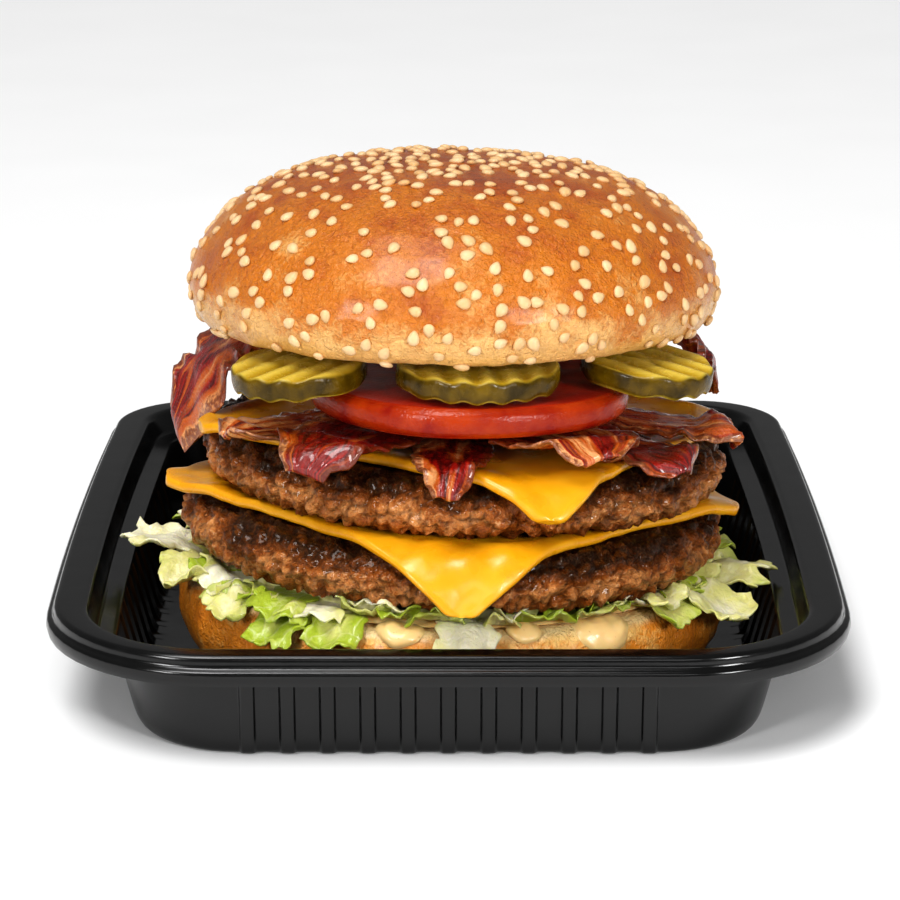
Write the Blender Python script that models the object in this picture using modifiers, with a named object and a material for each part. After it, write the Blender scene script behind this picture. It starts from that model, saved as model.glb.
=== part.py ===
"""A tall double bacon cheeseburger in an open black takeaway tray, built at its real size in metres.

The tray stands on z = 0 with its middle at x = y = 0. The burger stands on the tray's floor, nearer the
front, which is -y. From the tray up it is heel, sauce, lettuce, patty, cheese, patty, cheese, bacon, tomato,
pickles and crown. The patties lean back and to the right, and the crown leans back, as the toppings lift its
front edge.
"""

import math
import random
from collections import namedtuple

import bmesh
import bpy
from mathutils import Quaternion, Vector, noise

MM = 0.001
TURN = 2 * math.pi
GAP = 0.3 * MM  # between any two pieces that touch

# Tray: half length along x and y, corner radius and height of each section of its upper surface, in
# millimetres, from the lip of the skirt, over the flange, down the wall to the floor. The corners at the
# front are rounder.
SHEET = 0.7 * MM
SIDE_BOW = 2.3 * MM
RADIUS_SPREAD = 0.3
SMOOTH_SECTIONS = (
    (85.9, 96.1, 28.8, 19.3),
    (86.3, 96.5, 29.2, 20.4),
    (86.2, 96.4, 29.0, 22.4),
    (84.8, 95.0, 27.8, 22.9),
    (84.6, 94.8, 27.6, 24.9),
    (83.8, 94.0, 27.0, 25.5),
    (77.8, 90.0, 21.5, 25.5),
    (76.8, 89.2, 20.6, 24.9),
    (75.2, 88.2, 19.6, 20.0),
    (71.2, 87.4, 18.4, 19.2),
)
RIBBED_SECTIONS = (
    (70.8, 87.2, 18.2, 18.4),
    (66.9, 85.8, 16.6, 3.2),
    (65.8, 85.4, 15.9, 1.1),
)
FLOOR_SECTION = (63.8, 84.0, 14.7, 0.7)
RIB_PITCH = 8.5 * MM
RIB_WIDTH = 4.4 * MM
RIB_DEPTH = 0.9 * MM
FRONT_RIBS = 11
SIDE_RIBS = 13
CORNER_STEPS = 6

# Where the burger's axis meets the tray's floor.
BURGER_X = 0.5 * MM
BURGER_Y = -18.9 * MM
HEEL_BASE = SHEET + GAP
ROUND_STEPS = 34

# Heel: the lower half of the bun, radius and height from its base up, in millimetres.
HEEL_PROFILE = (
    (50.0, 0.0),
    (56.5, 1.8),
    (60.4, 5.8),
    (62.0, 11.0),
    (61.4, 16.0),
    (59.6, 19.4),
    (57.2, 20.5),
)
HEEL_TOP = 20.5 * MM
HEEL_RISE_X = -0.03
HEEL_RISE_Y = -0.04

# Patties and all that shares their lean. Rises are in metres per metre along x and y.
STACK_RISE_X = -0.05
STACK_RISE_Y = -0.055
LOWER_PATTY_MIDDLE = 32.0 * MM
LOWER_PATTY_RADIUS = 61.3 * MM
LOWER_PATTY_HALF = 6.75 * MM
UPPER_PATTY_RADIUS = 58.6 * MM
UPPER_PATTY_HALF = 6.25 * MM
UPPER_PATTY_SHIFT = 1.8 * MM
PATTY_CRAG = 1.0 * MM
# Share of the radius and of the half thickness, from the underside up.
PATTY_PROFILE = (
    (0.84, -1.0),
    (0.935, -0.86),
    (0.985, -0.48),
    (1.0, -0.05),
    (0.985, 0.40),
    (0.945, 0.78),
    (0.88, 0.96),
)

CHEESE_THICKNESS = 1.8 * MM
CHEESE_BEND_START = 56.5 * MM
CHEESE_BEND = 8.5 * MM
# Share of the half side that a blunt corner takes, and the lines on which a slice has points.
CHEESE_CORNER = 0.15
CHEESE_LINES = (-1.0, -0.92, -0.82, -0.7, -0.56, -0.35, 0.1, 0.5, 0.78, 0.92, 1.0)

LOWER_CHEESE_BASE = LOWER_PATTY_HALF + GAP
UPPER_PATTY_MIDDLE = LOWER_CHEESE_BASE + CHEESE_THICKNESS + GAP + UPPER_PATTY_HALF
UPPER_CHEESE_BASE = UPPER_PATTY_MIDDLE + UPPER_PATTY_HALF + GAP
BACON_BASE = UPPER_CHEESE_BASE + CHEESE_THICKNESS + GAP

# Slice of cheese: half diagonal, turn and centre, and how far its front, right, back and left corners
# bend down.
Slice = namedtuple("Slice", "half_diagonal turn x y droops")
LOWER_SLICE = Slice(67.0 * MM, 2.0, 0.0 * MM, -8.5 * MM, (76, 22, 62, 0))
UPPER_SLICE = Slice(65.0 * MM, 15.0, 4.0 * MM, -4.5 * MM, (56, 45, 55, 8))

# Bacon: each strip is a band across the burger, with the side that it points to, where it starts and ends
# along that line, its width, its level on the pile, and how far each end bends down.
Strip = namedtuple("Strip", "name angle start end width level start_droop end_droop")
BACON_THICKNESS = 2.0 * MM
BACON_LEVEL = BACON_THICKNESS + GAP
BACON_BEND_START = 57.2 * MM
BACON_BEND = 9.5 * MM
BACON_WAVE = 1.1 * MM
BACON_WAVE_START = 54.0 * MM
BACON_WAVE_LENGTH = 13.0 * MM
BACON_STRIPS = (
    Strip("bacon_front", -92, -66, 66, 16, 0, 40, 55),
    Strip("bacon_front_left", -118, -18, 67.5, 25, 1, 0, 50),
    Strip("bacon_front_right", -63, 5, 64, 30, 2, 0, 30),
    Strip("bacon_left_front", -143, 30, 61, 18, 0, 0, 20),
    Strip("bacon_right_front", -42, 30, 64, 21, 0, 0, 45),
    Strip("bacon_right", -22, 27, 65, 18, 1, 0, 60),
    Strip("bacon_right_back", 32, 24, 65, 21, 1, 0, 35),
    Strip("bacon_left_back", 150, 18, 66, 22, 1, 0, 35),
)
# Two strips lie over the tomato's edge and slope down outside it: side, start and end, width and the drop.
Slope = namedtuple("Slope", "name angle start end width top drop")
SLOPE_POWER = 2.2
SLOPED_STRIPS = (
    Slope("bacon_left_top", 184, 41, 63.0, 24, 16.6, 21.0),
    Slope("bacon_right_top", 7, 45, 57.5, 17, 19.0, 11.0),
)

# Crown: the upper half of the bun. Its own frame has z = 0 on its cut face, and what hangs below it is
# negative.
CROWN_BASE = 78.3 * MM
CROWN_RISE_X = -0.01
CROWN_RISE_Y = -0.075
CROWN_RADIUS = 59.6 * MM
CROWN_WIDEST = 8.9 * MM
CROWN_HEIGHT = 35.2 * MM
CROWN_TUCK = 4.8 * MM
CROWN_WIDEST_SHARE = 0.82
CROWN_SHOULDER = 0.58
CROWN_TOP = 1.29
CROWN_RINGS = 12
CROWN_STEPS = 42
SEEDS = 84
SEED_HALF = (1.75 * MM, 1.3 * MM, 1.0 * MM)
SEED_SINK = 0.3 * MM
SEED_RANDOM = 7
GOLDEN_ANGLE = math.pi * (3 - math.sqrt(5))

# Tomato slices: centre, radius and thickness. They hang below the crown by the pickles' depth.
TOMATO_TOP = -8.6 * MM
TOMATO_SLICES = (
    ("tomato_front", 4.5, -25.5, 34.5, 6.4),
    ("tomato_left_back", -27.0, 23.5, 22.8, 5.6),
    ("tomato_right_back", 29.5, 26.0, 21.5, 7.5),
)

# Pickle chips: centre, half lengths across and along the way out, and how far the outer side hangs down
# in degrees.
PICKLE_THICKNESS = 4.6 * MM
PICKLE_RIDGE = 0.55 * MM
PICKLE_RIDGES = 6
PICKLES = (
    ("pickle_left", -32.5, -39.5, 14.5, 14.5, 7.0),
    ("pickle_front", 5.8, -44.0, 17.5, 15.5, 4.0),
    ("pickle_right", 42.5, -32.0, 14.0, 14.5, 8.0),
    ("pickle_right_back", 34.0, 34.0, 14.0, 14.0, 4.0),
    ("pickle_back", 1.0, 46.0, 15.5, 14.0, 4.0),
    ("pickle_left_back", -38.0, 29.0, 14.5, 14.0, 4.0),
)

# Sauce: a thin layer on the heel, with drops that run over its edge: side, width and length. The heel's
# side is followed as a path of radius and height in millimetres.
SAUCE_THICKNESS = 0.8 * MM
SAUCE_RADIUS = 55.6 * MM
SAUCE_PATH = ((53.5, 20.5), (57.2, 20.5), (59.6, 19.4), (61.4, 16.0), (62.0, 11.0))
SAUCE_CLEARANCE = 0.8
SAUCE_BULGE = 1.3
Drop = namedtuple("Drop", "angle width length")
SAUCE_DROPS = (
    Drop(-101, 12, 9.0),
    Drop(-74, 9, 7.5),
    Drop(-56, 15, 13.0),
    Drop(58, 13, 8.0),
    Drop(112, 11, 7.5),
)

# Lettuce: a core between sauce and patty, with leaf pieces that stick out: side, width, reach, and how
# far they fall.
LETTUCE_CORE_RADIUS = 53.0 * MM
LEAF_THICKNESS = 0.9 * MM
LEAF_START = 47.0 * MM
LEAF_FALL_START = 56.5 * MM
LEAF_ROWS = (-1.0, 0.0, 0.5, 1.0)
LEAF_WAVE = 1.0 * MM
LEAF_LEVEL = 1.0 * MM
Leaf = namedtuple("Leaf", "angle width reach fall")
LEAVES = (
    Leaf(-176, 17, 73.5, -1.0),
    Leaf(-159, 18, 69.0, 2.5),
    Leaf(-141, 14, 66.5, 4.5),
    Leaf(-127, 13, 67.5, 7.0),
    Leaf(-114, 12, 66.0, 5.5),
    Leaf(-87, 13, 66.5, 6.0),
    Leaf(-38, 13, 66.0, 3.5),
    Leaf(-27, 15, 72.0, 5.0),
    Leaf(-11, 15, 73.0, 0.5),
    Leaf(14, 16, 67.0, 3.0),
    Leaf(38, 18, 66.0, 4.5),
    Leaf(83, 18, 66.0, 4.0),
    Leaf(136, 18, 66.5, 3.0),
    Leaf(158, 15, 68.0, 2.0),
)


def clear_scene():
    """Remove every object of the file that this runs in."""
    for obj in list(bpy.data.objects):
        bpy.data.objects.remove(obj)


def make_material(name, colour, roughness, specular=0.5):
    """A Principled material of one colour."""
    material = bpy.data.materials.new(name)
    material.use_nodes = True
    shader = material.node_tree.nodes["Principled BSDF"]
    shader.inputs["Base Color"].default_value = (*colour, 1)
    shader.inputs["Roughness"].default_value = roughness
    shader.inputs["Metallic"].default_value = 0
    shader.inputs["Specular IOR Level"].default_value = specular
    return material


def make_group(name):
    """A collection in the scene."""
    group = bpy.data.collections.new(name)
    bpy.context.scene.collection.children.link(group)
    return group


def make_frame(name, group, parent=None, location=(0, 0, 0), rise=(0, 0)):
    """An empty that others are placed by. rise is how much its z = 0 plane climbs per metre of x and y."""
    empty = bpy.data.objects.new(name, None)
    empty.location = location
    empty.rotation_euler = (math.atan(rise[1]), -math.atan(rise[0]), 0)
    empty.parent = parent
    group.objects.link(empty)
    return empty


def finish_object(name, bm, material, group, parent=None, location=(0, 0, 0)):
    """A smooth-shaded object from bm, in group."""
    mesh = bpy.data.meshes.new(name)
    bmesh.ops.recalc_face_normals(bm, faces=bm.faces)
    bm.to_mesh(mesh)
    bm.free()
    mesh.shade_smooth()
    mesh.set_sharp_from_angle(angle=math.radians(50))
    mesh.materials.append(material)
    obj = bpy.data.objects.new(name, mesh)
    obj.location = location
    obj.parent = parent
    group.objects.link(obj)
    return obj


def loft(rings):
    """A closed bmesh through rings of equally many points."""
    bm = bmesh.new()
    loops = [[bm.verts.new(point) for point in ring] for ring in rings]
    count = len(loops[0])
    for lower, upper in zip(loops, loops[1:]):
        for i in range(count):
            j = (i + 1) % count
            bm.faces.new((lower[i], lower[j], upper[j], upper[i]))
    bm.faces.new(loops[0][::-1])
    bm.faces.new(loops[-1])
    return bm


def thin_solid(under, over):
    """A closed bmesh between two grids of points, with the same diagonals in both faces."""
    bm = bmesh.new()
    low = [[bm.verts.new(point) for point in row] for row in under]
    high = [[bm.verts.new(point) for point in row] for row in over]
    rows, columns = len(low), len(low[0])
    for i in range(rows - 1):
        for j in range(columns - 1):
            for grid, order in ((low, -1), (high, 1)):
                a, b, c, d = grid[i][j], grid[i + 1][j], grid[i + 1][j + 1], grid[i][j + 1]
                bm.faces.new((a, b, c)[::order])
                bm.faces.new((a, c, d)[::order])
    border = [(i, 0) for i in range(rows)] + [(rows - 1, j) for j in range(1, columns)]
    border += [(i, columns - 1) for i in range(rows - 2, -1, -1)]
    border += [(0, j) for j in range(columns - 2, 0, -1)]
    for (i, j), (k, m) in zip(border, border[1:] + border[:1]):
        bm.faces.new((low[i][j], low[k][m], high[k][m], high[i][j]))
    return bm


def fuse(base, extras):
    """Join extras to base by one union, which is applied, and remove them."""
    group = make_group(base.name + "_extras")
    for extra in extras:
        for owner in list(extra.users_collection):
            owner.objects.unlink(extra)
        group.objects.link(extra)
    union = base.modifiers.new("join", "BOOLEAN")
    union.operation = "UNION"
    union.operand_type = "COLLECTION"
    union.collection = group
    union.solver = "EXACT"
    bpy.context.view_layer.update()
    graph = bpy.context.evaluated_depsgraph_get()
    joined = bpy.data.meshes.new_from_object(base.evaluated_get(graph))
    base.modifiers.remove(union)
    base.data = joined
    for extra in extras:
        bpy.data.objects.remove(extra)
    bpy.data.collections.remove(group)


def rounded_loop(half_x, half_y, radius, height, side_stops, front_stops):
    """A rounded rectangle's points, anticlockwise from the front's left end, with bowed sides.

    side_stops and front_stops are (place along the side, push outwards) pairs between the corners.
    """
    points = []

    def bow(y):
        return SIDE_BOW * (1 - min(1.0, (y / half_y) ** 2))

    def corner(sign_x, sign_y, start):
        own = radius * (1 - sign_y * RADIUS_SPREAD)
        for i in range(CORNER_STEPS + 1):
            angle = math.radians(start + 90 * i / CORNER_STEPS)
            y = sign_y * (half_y - own) + own * math.sin(angle)
            x = sign_x * (half_x - own + bow(y)) + own * math.cos(angle)
            points.append(Vector((x, y, height)))

    points.extend(Vector((x, -half_y - push, height)) for x, push in front_stops)
    corner(1, -1, -90)
    points.extend(Vector((half_x + bow(y) + push, y, height)) for y, push in side_stops)
    corner(1, 1, 0)
    points.extend(Vector((-x, half_y + push, height)) for x, push in front_stops)
    corner(-1, 1, 90)
    points.extend(Vector((-half_x - bow(y) - push, -y, height)) for y, push in side_stops)
    corner(-1, -1, 180)
    return points


def rib_stops(count, depth):
    """Three places for each of count ribs along one side, with the middle one pushed out by depth."""
    stops = []
    for i in range(count):
        middle = (i - (count - 1) / 2) * RIB_PITCH
        stops += [(middle - RIB_WIDTH / 2, 0), (middle, depth), (middle + RIB_WIDTH / 2, 0)]
    return stops


def build_tray(group, material):
    """The tray: a bent sheet with a skirt, a flange, a ledge and ribbed walls."""
    plain_stops = [(-30 * MM, 0), (0, 0), (30 * MM, 0)]
    bm = bmesh.new()

    def loop_of(section, side_stops, front_stops):
        half_x, half_y, radius, height = (size * MM for size in section)
        outline = rounded_loop(half_x, half_y, radius, height, side_stops, front_stops)
        return [bm.verts.new(point) for point in outline]

    def band(outer, inner):
        for i in range(len(outer)):
            j = (i + 1) % len(outer)
            bm.faces.new((outer[i], outer[j], inner[j], inner[i]))

    smooth = [loop_of(section, plain_stops, plain_stops) for section in SMOOTH_SECTIONS]
    ribbed = [
        loop_of(section, rib_stops(SIDE_RIBS, RIB_DEPTH), rib_stops(FRONT_RIBS, RIB_DEPTH))
        for section in RIBBED_SECTIONS
    ]
    ribbed.append(loop_of(FLOOR_SECTION, rib_stops(SIDE_RIBS, 0), rib_stops(FRONT_RIBS, 0)))
    for loops in (smooth, ribbed):
        for outer, inner in zip(loops, loops[1:]):
            band(outer, inner)
    bm.faces.new(ribbed[-1])
    bm.edges.ensure_lookup_table()
    open_edges = [
        bm.edges.get((loop[i], loop[(i + 1) % len(loop)]))
        for loop in (smooth[-1], ribbed[0])
        for i in range(len(loop))
    ]
    bmesh.ops.bridge_loops(bm, edges=open_edges)
    tray = finish_object("tray", bm, material, group)
    thickness = tray.modifiers.new("sheet", "SOLIDIFY")
    thickness.thickness = SHEET
    thickness.offset = -1
    return tray


def ring_of(radius, height, steps, bend):
    """A ring of points; bend(angle, radius, height) gives each one's place."""
    return [bend(TURN * i / steps, radius, height) for i in range(steps)]


def bun_wobble(angle):
    """How much wider than a circle a bun is at this angle."""
    return 1 + 0.010 * math.sin(2 * angle + 0.7) + 0.006 * math.sin(3 * angle + 2.1)


def heel_top(x, y):
    """Height of the heel's cut face above its base."""
    return HEEL_TOP + HEEL_RISE_X * x + HEEL_RISE_Y * y


def build_heel(group, material, axis):
    """The heel: a turned form with a slanting cut face."""

    def bend(angle, radius, height):
        x = radius * bun_wobble(angle) * math.cos(angle)
        y = radius * bun_wobble(angle) * math.sin(angle)
        return Vector((x, y, height * heel_top(x, y) / HEEL_TOP))

    rings = [ring_of(radius * MM, height * MM, ROUND_STEPS, bend) for radius, height in HEEL_PROFILE]
    return finish_object("heel", loft(rings), material, group, axis, (0, 0, HEEL_BASE))


def patty_wobble(angle, seed):
    """How much wider than a circle a patty is at this angle."""
    wander = noise.noise(Vector((1.6 * math.cos(angle), 1.6 * math.sin(angle), seed)))
    return 1 + 0.022 * wander


def build_patty(name, radius, half, seed, place, group, material, stack):
    """A patty: a flat round with a craggy side."""

    def bend(angle, share, level):
        out = Vector((math.cos(angle), math.sin(angle), 0))
        crag = noise.noise(out * 7.0 + Vector((0, 0, level * 1.3 + seed)))
        side = max(0.0, 1 - abs(level)) ** 0.5
        reach = radius * share * patty_wobble(angle, seed) + PATTY_CRAG * crag * side
        return out * reach + Vector((0, 0, half * level * (1 - 0.06 * abs(crag))))

    rings = [ring_of(share, level, ROUND_STEPS, bend) for share, level in PATTY_PROFILE]
    return finish_object(name, loft(rings), material, group, stack, place)


def cheese_droop(slice_, angle):
    """How far a slice of cheese may bend down at this angle round the axis, in radians."""
    droop = 0.0
    for corner, limit in enumerate(slice_.droops):
        away = angle - math.radians(slice_.turn - 90 + 90 * corner)
        droop += math.radians(limit) * max(0.0, math.cos(2 * away)) * (math.cos(away) > 0)
    return droop


def blunt(u, v):
    """Pull the corners of the square from -1 to 1 in to quarter rounds."""
    past_u = max(0.0, abs(u) - 1 + CHEESE_CORNER) / CHEESE_CORNER
    past_v = max(0.0, abs(v) - 1 + CHEESE_CORNER) / CHEESE_CORNER
    pull_u = CHEESE_CORNER * past_u * (1 - math.sqrt(1 - past_v * past_v / 2))
    pull_v = CHEESE_CORNER * past_v * (1 - math.sqrt(1 - past_u * past_u / 2))
    return u - math.copysign(pull_u, u), v - math.copysign(pull_v, v)


def cheese_point(slice_, u, v, base, lift):
    """A point of a slice: u and v from -1 to 1 across it, lift above its underside."""
    u, v = blunt(u, v)
    half_side = slice_.half_diagonal / math.sqrt(2)
    turn = math.radians(slice_.turn + 45)
    x = slice_.x + half_side * (u * math.cos(turn) - v * math.sin(turn))
    y = slice_.y + half_side * (u * math.sin(turn) + v * math.cos(turn))
    radius, angle = math.hypot(x, y), math.atan2(y, x)
    past = max(0.0, radius - CHEESE_BEND_START)
    bent = min(past / CHEESE_BEND, cheese_droop(slice_, angle))
    straight = past - bent * CHEESE_BEND
    reach = radius - past + (CHEESE_BEND + lift) * math.sin(bent) + straight * math.cos(bent)
    height = base - CHEESE_BEND + (CHEESE_BEND + lift) * math.cos(bent) - straight * math.sin(bent)
    return Vector((reach * math.cos(angle), reach * math.sin(angle), height))


def build_cheese(name, slice_, base, group, material, stack):
    """A slice of cheese whose corners bend down over the patty's edge."""
    grids = [
        [[cheese_point(slice_, u, v, base, lift) for v in CHEESE_LINES] for u in CHEESE_LINES]
        for lift in (0.0, CHEESE_THICKNESS)
    ]
    return finish_object(name, thin_solid(*grids), material, group, stack)


def bacon_point(strip, along, across, lift):
    """A point of a strip that lies on the cheese: along in metres on its line, across from -1 to 1."""
    direction = math.radians(strip.angle)
    base = BACON_BASE + strip.level * BACON_LEVEL
    bend = BACON_BEND + strip.level * BACON_LEVEL
    distance, way = abs(along), math.copysign(1, along)
    droop = math.radians(strip.end_droop if along > 0 else strip.start_droop)
    past = max(0.0, distance - BACON_BEND_START)
    bent = min(past / bend, droop)
    straight = past - bent * bend
    loose = max(0.0, distance - BACON_WAVE_START)
    wave = BACON_WAVE * min(1.0, loose / (6 * MM))
    lift += wave * (1 + math.sin(TURN * along / BACON_WAVE_LENGTH + 2.2 * across + strip.angle))
    reach = way * (distance - past + (bend + lift) * math.sin(bent) + straight * math.cos(bent))
    height = base - bend + (bend + lift) * math.cos(bent) - straight * math.sin(bent)
    side = across * strip.width * MM / 2
    x = reach * math.cos(direction) - side * math.sin(direction)
    y = reach * math.sin(direction) + side * math.cos(direction)
    return Vector((x, y, height))


def build_bacon(strip, group, material, stack):
    """A wavy strip of bacon."""
    steps = max(7, round((strip.end - strip.start) / 7))
    stops = [(strip.start + (strip.end - strip.start) * i / steps) * MM for i in range(steps + 1)]
    grids = [
        [[bacon_point(strip, along, across, lift) for across in (-1, 0, 1)] for along in stops]
        for lift in (0.0, BACON_THICKNESS)
    ]
    return finish_object(strip.name, thin_solid(*grids), material, group, stack)


def sloped_point(slope, share, across, lift):
    """A point of a strip that slopes down outside the tomato: share from 0 to 1 along it."""
    direction = math.radians(slope.angle)
    reach = (slope.start + (slope.end - slope.start) * share) * MM
    fall = share**SLOPE_POWER
    wave = 0.9 * MM * math.sin(TURN * 1.6 * share + 2.0 * across) * min(1.0, 3 * share)
    height = BACON_BASE + (slope.top - slope.drop * fall) * MM + wave + lift
    side = across * slope.width * MM / 2
    reach += 0.5 * lift
    x = reach * math.cos(direction) - side * math.sin(direction)
    y = reach * math.sin(direction) + side * math.cos(direction)
    return Vector((x, y, height))


def build_sloped_bacon(slope, group, material, stack):
    """A strip of bacon that hangs over the edge of the pile."""
    grids = [
        [[sloped_point(slope, i / 7, across, lift) for across in (-1, 0, 1)] for i in range(8)]
        for lift in (0.0, 1.6 * BACON_THICKNESS)
    ]
    return finish_object(slope.name, thin_solid(*grids), material, group, stack)


def crown_profile(share):
    """Radius and height of the crown at a share of the way from its top to its lower edge."""
    if share < CROWN_WIDEST_SHARE:
        angle = math.pi / 2 * (max(0.0, share) / CROWN_WIDEST_SHARE) ** (1 / CROWN_SHOULDER)
        rise = (CROWN_HEIGHT - CROWN_WIDEST) * math.cos(angle) ** CROWN_TOP
        return CROWN_RADIUS * math.sin(angle) ** CROWN_SHOULDER, CROWN_WIDEST + rise
    angle = math.pi / 2 * (share - CROWN_WIDEST_SHARE) / (1 - CROWN_WIDEST_SHARE)
    return CROWN_RADIUS - CROWN_TUCK * (1 - math.cos(angle)), CROWN_WIDEST * (1 - math.sin(angle))


def crown_point(share, angle):
    """A point of the crown's crust."""
    radius, height = crown_profile(share)
    radius *= bun_wobble(angle + 1.9)
    return Vector((radius * math.cos(angle), radius * math.sin(angle), height))


def crown_normal(share, angle):
    """The way out of the crust at a point."""
    step = 0.004
    along = crown_point(share + step, angle) - crown_point(share - step, angle)
    round_ = crown_point(share, angle + step) - crown_point(share, angle - step)
    return along.cross(round_).normalized()


def seed_places(count):
    """Shares and angles of count seeds, dense on top and sparse towards the lower edge."""
    draw = random.Random(SEED_RANDOM)
    for i in range(count):
        share = 0.93 * ((i + 0.5) / count) ** 0.62
        yield share + draw.uniform(-0.015, 0.015), i * GOLDEN_ANGLE + draw.uniform(-0.12, 0.12)


def build_seed(name, share, angle, turn, size, material, group, frame):
    """A sesame seed lying on the crust, sunk a little into it."""
    normal = crown_normal(share, angle)
    bm = bmesh.new()
    bmesh.ops.create_icosphere(bm, subdivisions=1, radius=1)
    across = normal.orthogonal().normalized()
    across.rotate(Quaternion(normal, turn))
    along = normal.cross(across)
    middle = crown_point(share, angle) - normal * SEED_SINK
    for vert in bm.verts:
        a, b, c = (size * vert.co[i] * SEED_HALF[i] for i in range(3))
        vert.co = middle + along * a + across * b + normal * c
    return finish_object(name, bm, material, group, frame)


def build_crown(group, material, frame):
    """The crown: a dome with a tucked lower edge and sesame seeds joined to it."""

    def ring(share):
        return [crown_point(share, TURN * i / CROWN_STEPS) for i in range(CROWN_STEPS)]

    shares = [1 - (1 - 0.07) * i / CROWN_RINGS for i in range(CROWN_RINGS + 1)]
    crown = finish_object("crown", loft([ring(share) for share in shares]), material, group, frame)
    draw = random.Random(SEED_RANDOM + 1)
    seeds = []
    for i, (share, angle) in enumerate(seed_places(SEEDS)):
        turn, size = draw.uniform(0, math.pi), draw.uniform(0.9, 1.1)
        seeds.append(build_seed(f"seed_{i}", share, angle, turn, size, material, group, frame))
    fuse(crown, seeds)
    return crown


def build_tomato(name, x, y, radius, thickness, group, material, frame):
    """A slice of tomato with a rounded skin edge."""
    profile = ((-1.6, 0.0), (-0.1, 0.25), (-0.1, 0.75), (-1.6, 1.0))

    def bend(angle, inset, level):
        reach = (radius + inset) * MM * (1 + 0.012 * math.sin(5 * angle + x))
        return Vector((reach * math.cos(angle), reach * math.sin(angle), (level - 1) * thickness * MM))

    rings = [ring_of(inset, level, 26, bend) for inset, level in profile]
    return finish_object(name, loft(rings), material, group, frame, (x * MM, y * MM, TOMATO_TOP))


def build_pickle(name, x, y, across, out, hang, group, material, frame):
    """A crinkle-cut pickle chip, whose ridges run towards the burger's rim."""
    steps = 2 * PICKLE_RIDGES
    rows = [-math.cos(math.pi * (i + 0.5) / (steps + 1)) for i in range(steps + 1)]
    outward = math.atan2(y, x)

    def grid(level):
        points = []
        for i, share in enumerate(rows):
            ridge = PICKLE_RIDGE * (1 if i % 2 else -1)
            half = out * MM * math.sqrt(1 - share * share)
            side = across * MM * share
            points.append([Vector((end * half, side, level + ridge)) for end in (-1, 0, 1)])
        return points

    chip = finish_object(name, thin_solid(grid(-PICKLE_THICKNESS), grid(0.0)), material, group, frame)
    drop = (out * MM) * math.sin(math.radians(hang))
    chip.location = (x * MM, y * MM, -GAP - PICKLE_RIDGE - drop)
    chip.rotation_euler = (0, math.radians(hang), outward)
    return chip


def sauce_path(distance, clearance):
    """Radius and height in millimetres at a distance along the heel's side, held off it by clearance."""
    left = distance
    for (r0, z0), (r1, z1) in zip(SAUCE_PATH, SAUCE_PATH[1:]):
        length = math.hypot(r1 - r0, z1 - z0)
        share = left / length
        if share <= 1:
            break
        left -= length
    radius = r0 + (r1 - r0) * share + (z0 - z1) / length * clearance
    return radius, z0 + (z1 - z0) * share + (r1 - r0) / length * clearance


def sauce_point(angle, radius, height):
    """A point of the sauce: radius and height in millimetres are the ones it has on a level, round heel."""
    x = radius * MM * bun_wobble(angle) * math.cos(angle)
    y = radius * MM * bun_wobble(angle) * math.sin(angle)
    return Vector((x, y, height * MM + HEEL_RISE_X * x + HEEL_RISE_Y * y))


def drop_point(drop, share, across, thick):
    """A point of a drop: share from 0 to 1 down it, across from -1 to 1, thick at its outer side."""
    angle = math.radians(drop.angle) + across * drop.width / 2 / 60
    distance = drop.length * share * (1 - 0.35 * across * across)
    skin = (SAUCE_BULGE * math.sin(math.pi * (0.12 + 0.6 * share)) * (1 - 0.5 * across * across)) * thick
    clearance = GAP / MM + 0.1 + (SAUCE_CLEARANCE - 0.1) * min(1.0, 3 * share)
    return sauce_point(angle, *sauce_path(distance, clearance + skin))


def build_sauce(group, material, axis):
    """The sauce: a thin round with drops that hang over the heel's edge."""
    top = SAUCE_PATH[0][1]

    def ring(lift):
        radius = SAUCE_RADIUS / MM
        return [sauce_point(TURN * i / ROUND_STEPS, radius, top + lift) for i in range(ROUND_STEPS)]

    low, high = GAP / MM, (GAP + SAUCE_THICKNESS) / MM
    sauce = finish_object("sauce", loft([ring(low), ring(high)]), material, group, axis, (0, 0, HEEL_BASE))
    drops = []
    for i, drop in enumerate(SAUCE_DROPS):
        grids = [
            [[drop_point(drop, row / 4, column / 1.5 - 1, thick) for column in range(4)] for row in range(5)]
            for thick in (0, 1)
        ]
        drops.append(finish_object(f"drop_{i}", thin_solid(*grids), material, group, axis, (0, 0, HEEL_BASE)))
    fuse(sauce, drops)
    return sauce


def under_patty(x, y):
    """Height, over the heel's base, of the lower patty's underside."""
    return LOWER_PATTY_MIDDLE - HEEL_BASE - LOWER_PATTY_HALF + STACK_RISE_X * x + STACK_RISE_Y * y


def over_sauce(x, y):
    """Height, over the heel's base, of the sauce's top."""
    return heel_top(x, y) + GAP + SAUCE_THICKNESS


def leaf_point(leaf, out, across, lift):
    """A point of a leaf: out is below 0 inside the burger and 1 at the tip, across is -1 to 1."""
    loose = leaf.reach * MM - LEAF_FALL_START
    reach = LEAF_FALL_START + (loose * out if out > 0 else (LEAF_FALL_START - LEAF_START) * out)
    out = max(0.0, out)
    direction = math.radians(leaf.angle)
    side = across * leaf.width * MM / 2 * (0.85 + 0.25 * out)
    x = reach * math.cos(direction) - side * math.sin(direction)
    y = reach * math.sin(direction) + side * math.cos(direction)
    wave = LEAF_WAVE * min(1.0, 2 * out) * math.sin(3.1 * across + leaf.angle)
    wave += LEAF_LEVEL * min(1.0, 3 * out)
    fall = leaf.fall * MM * out * out * (3 - 2 * out)
    return Vector((x, y, over_sauce(x, y) + GAP + wave + lift - fall))


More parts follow.
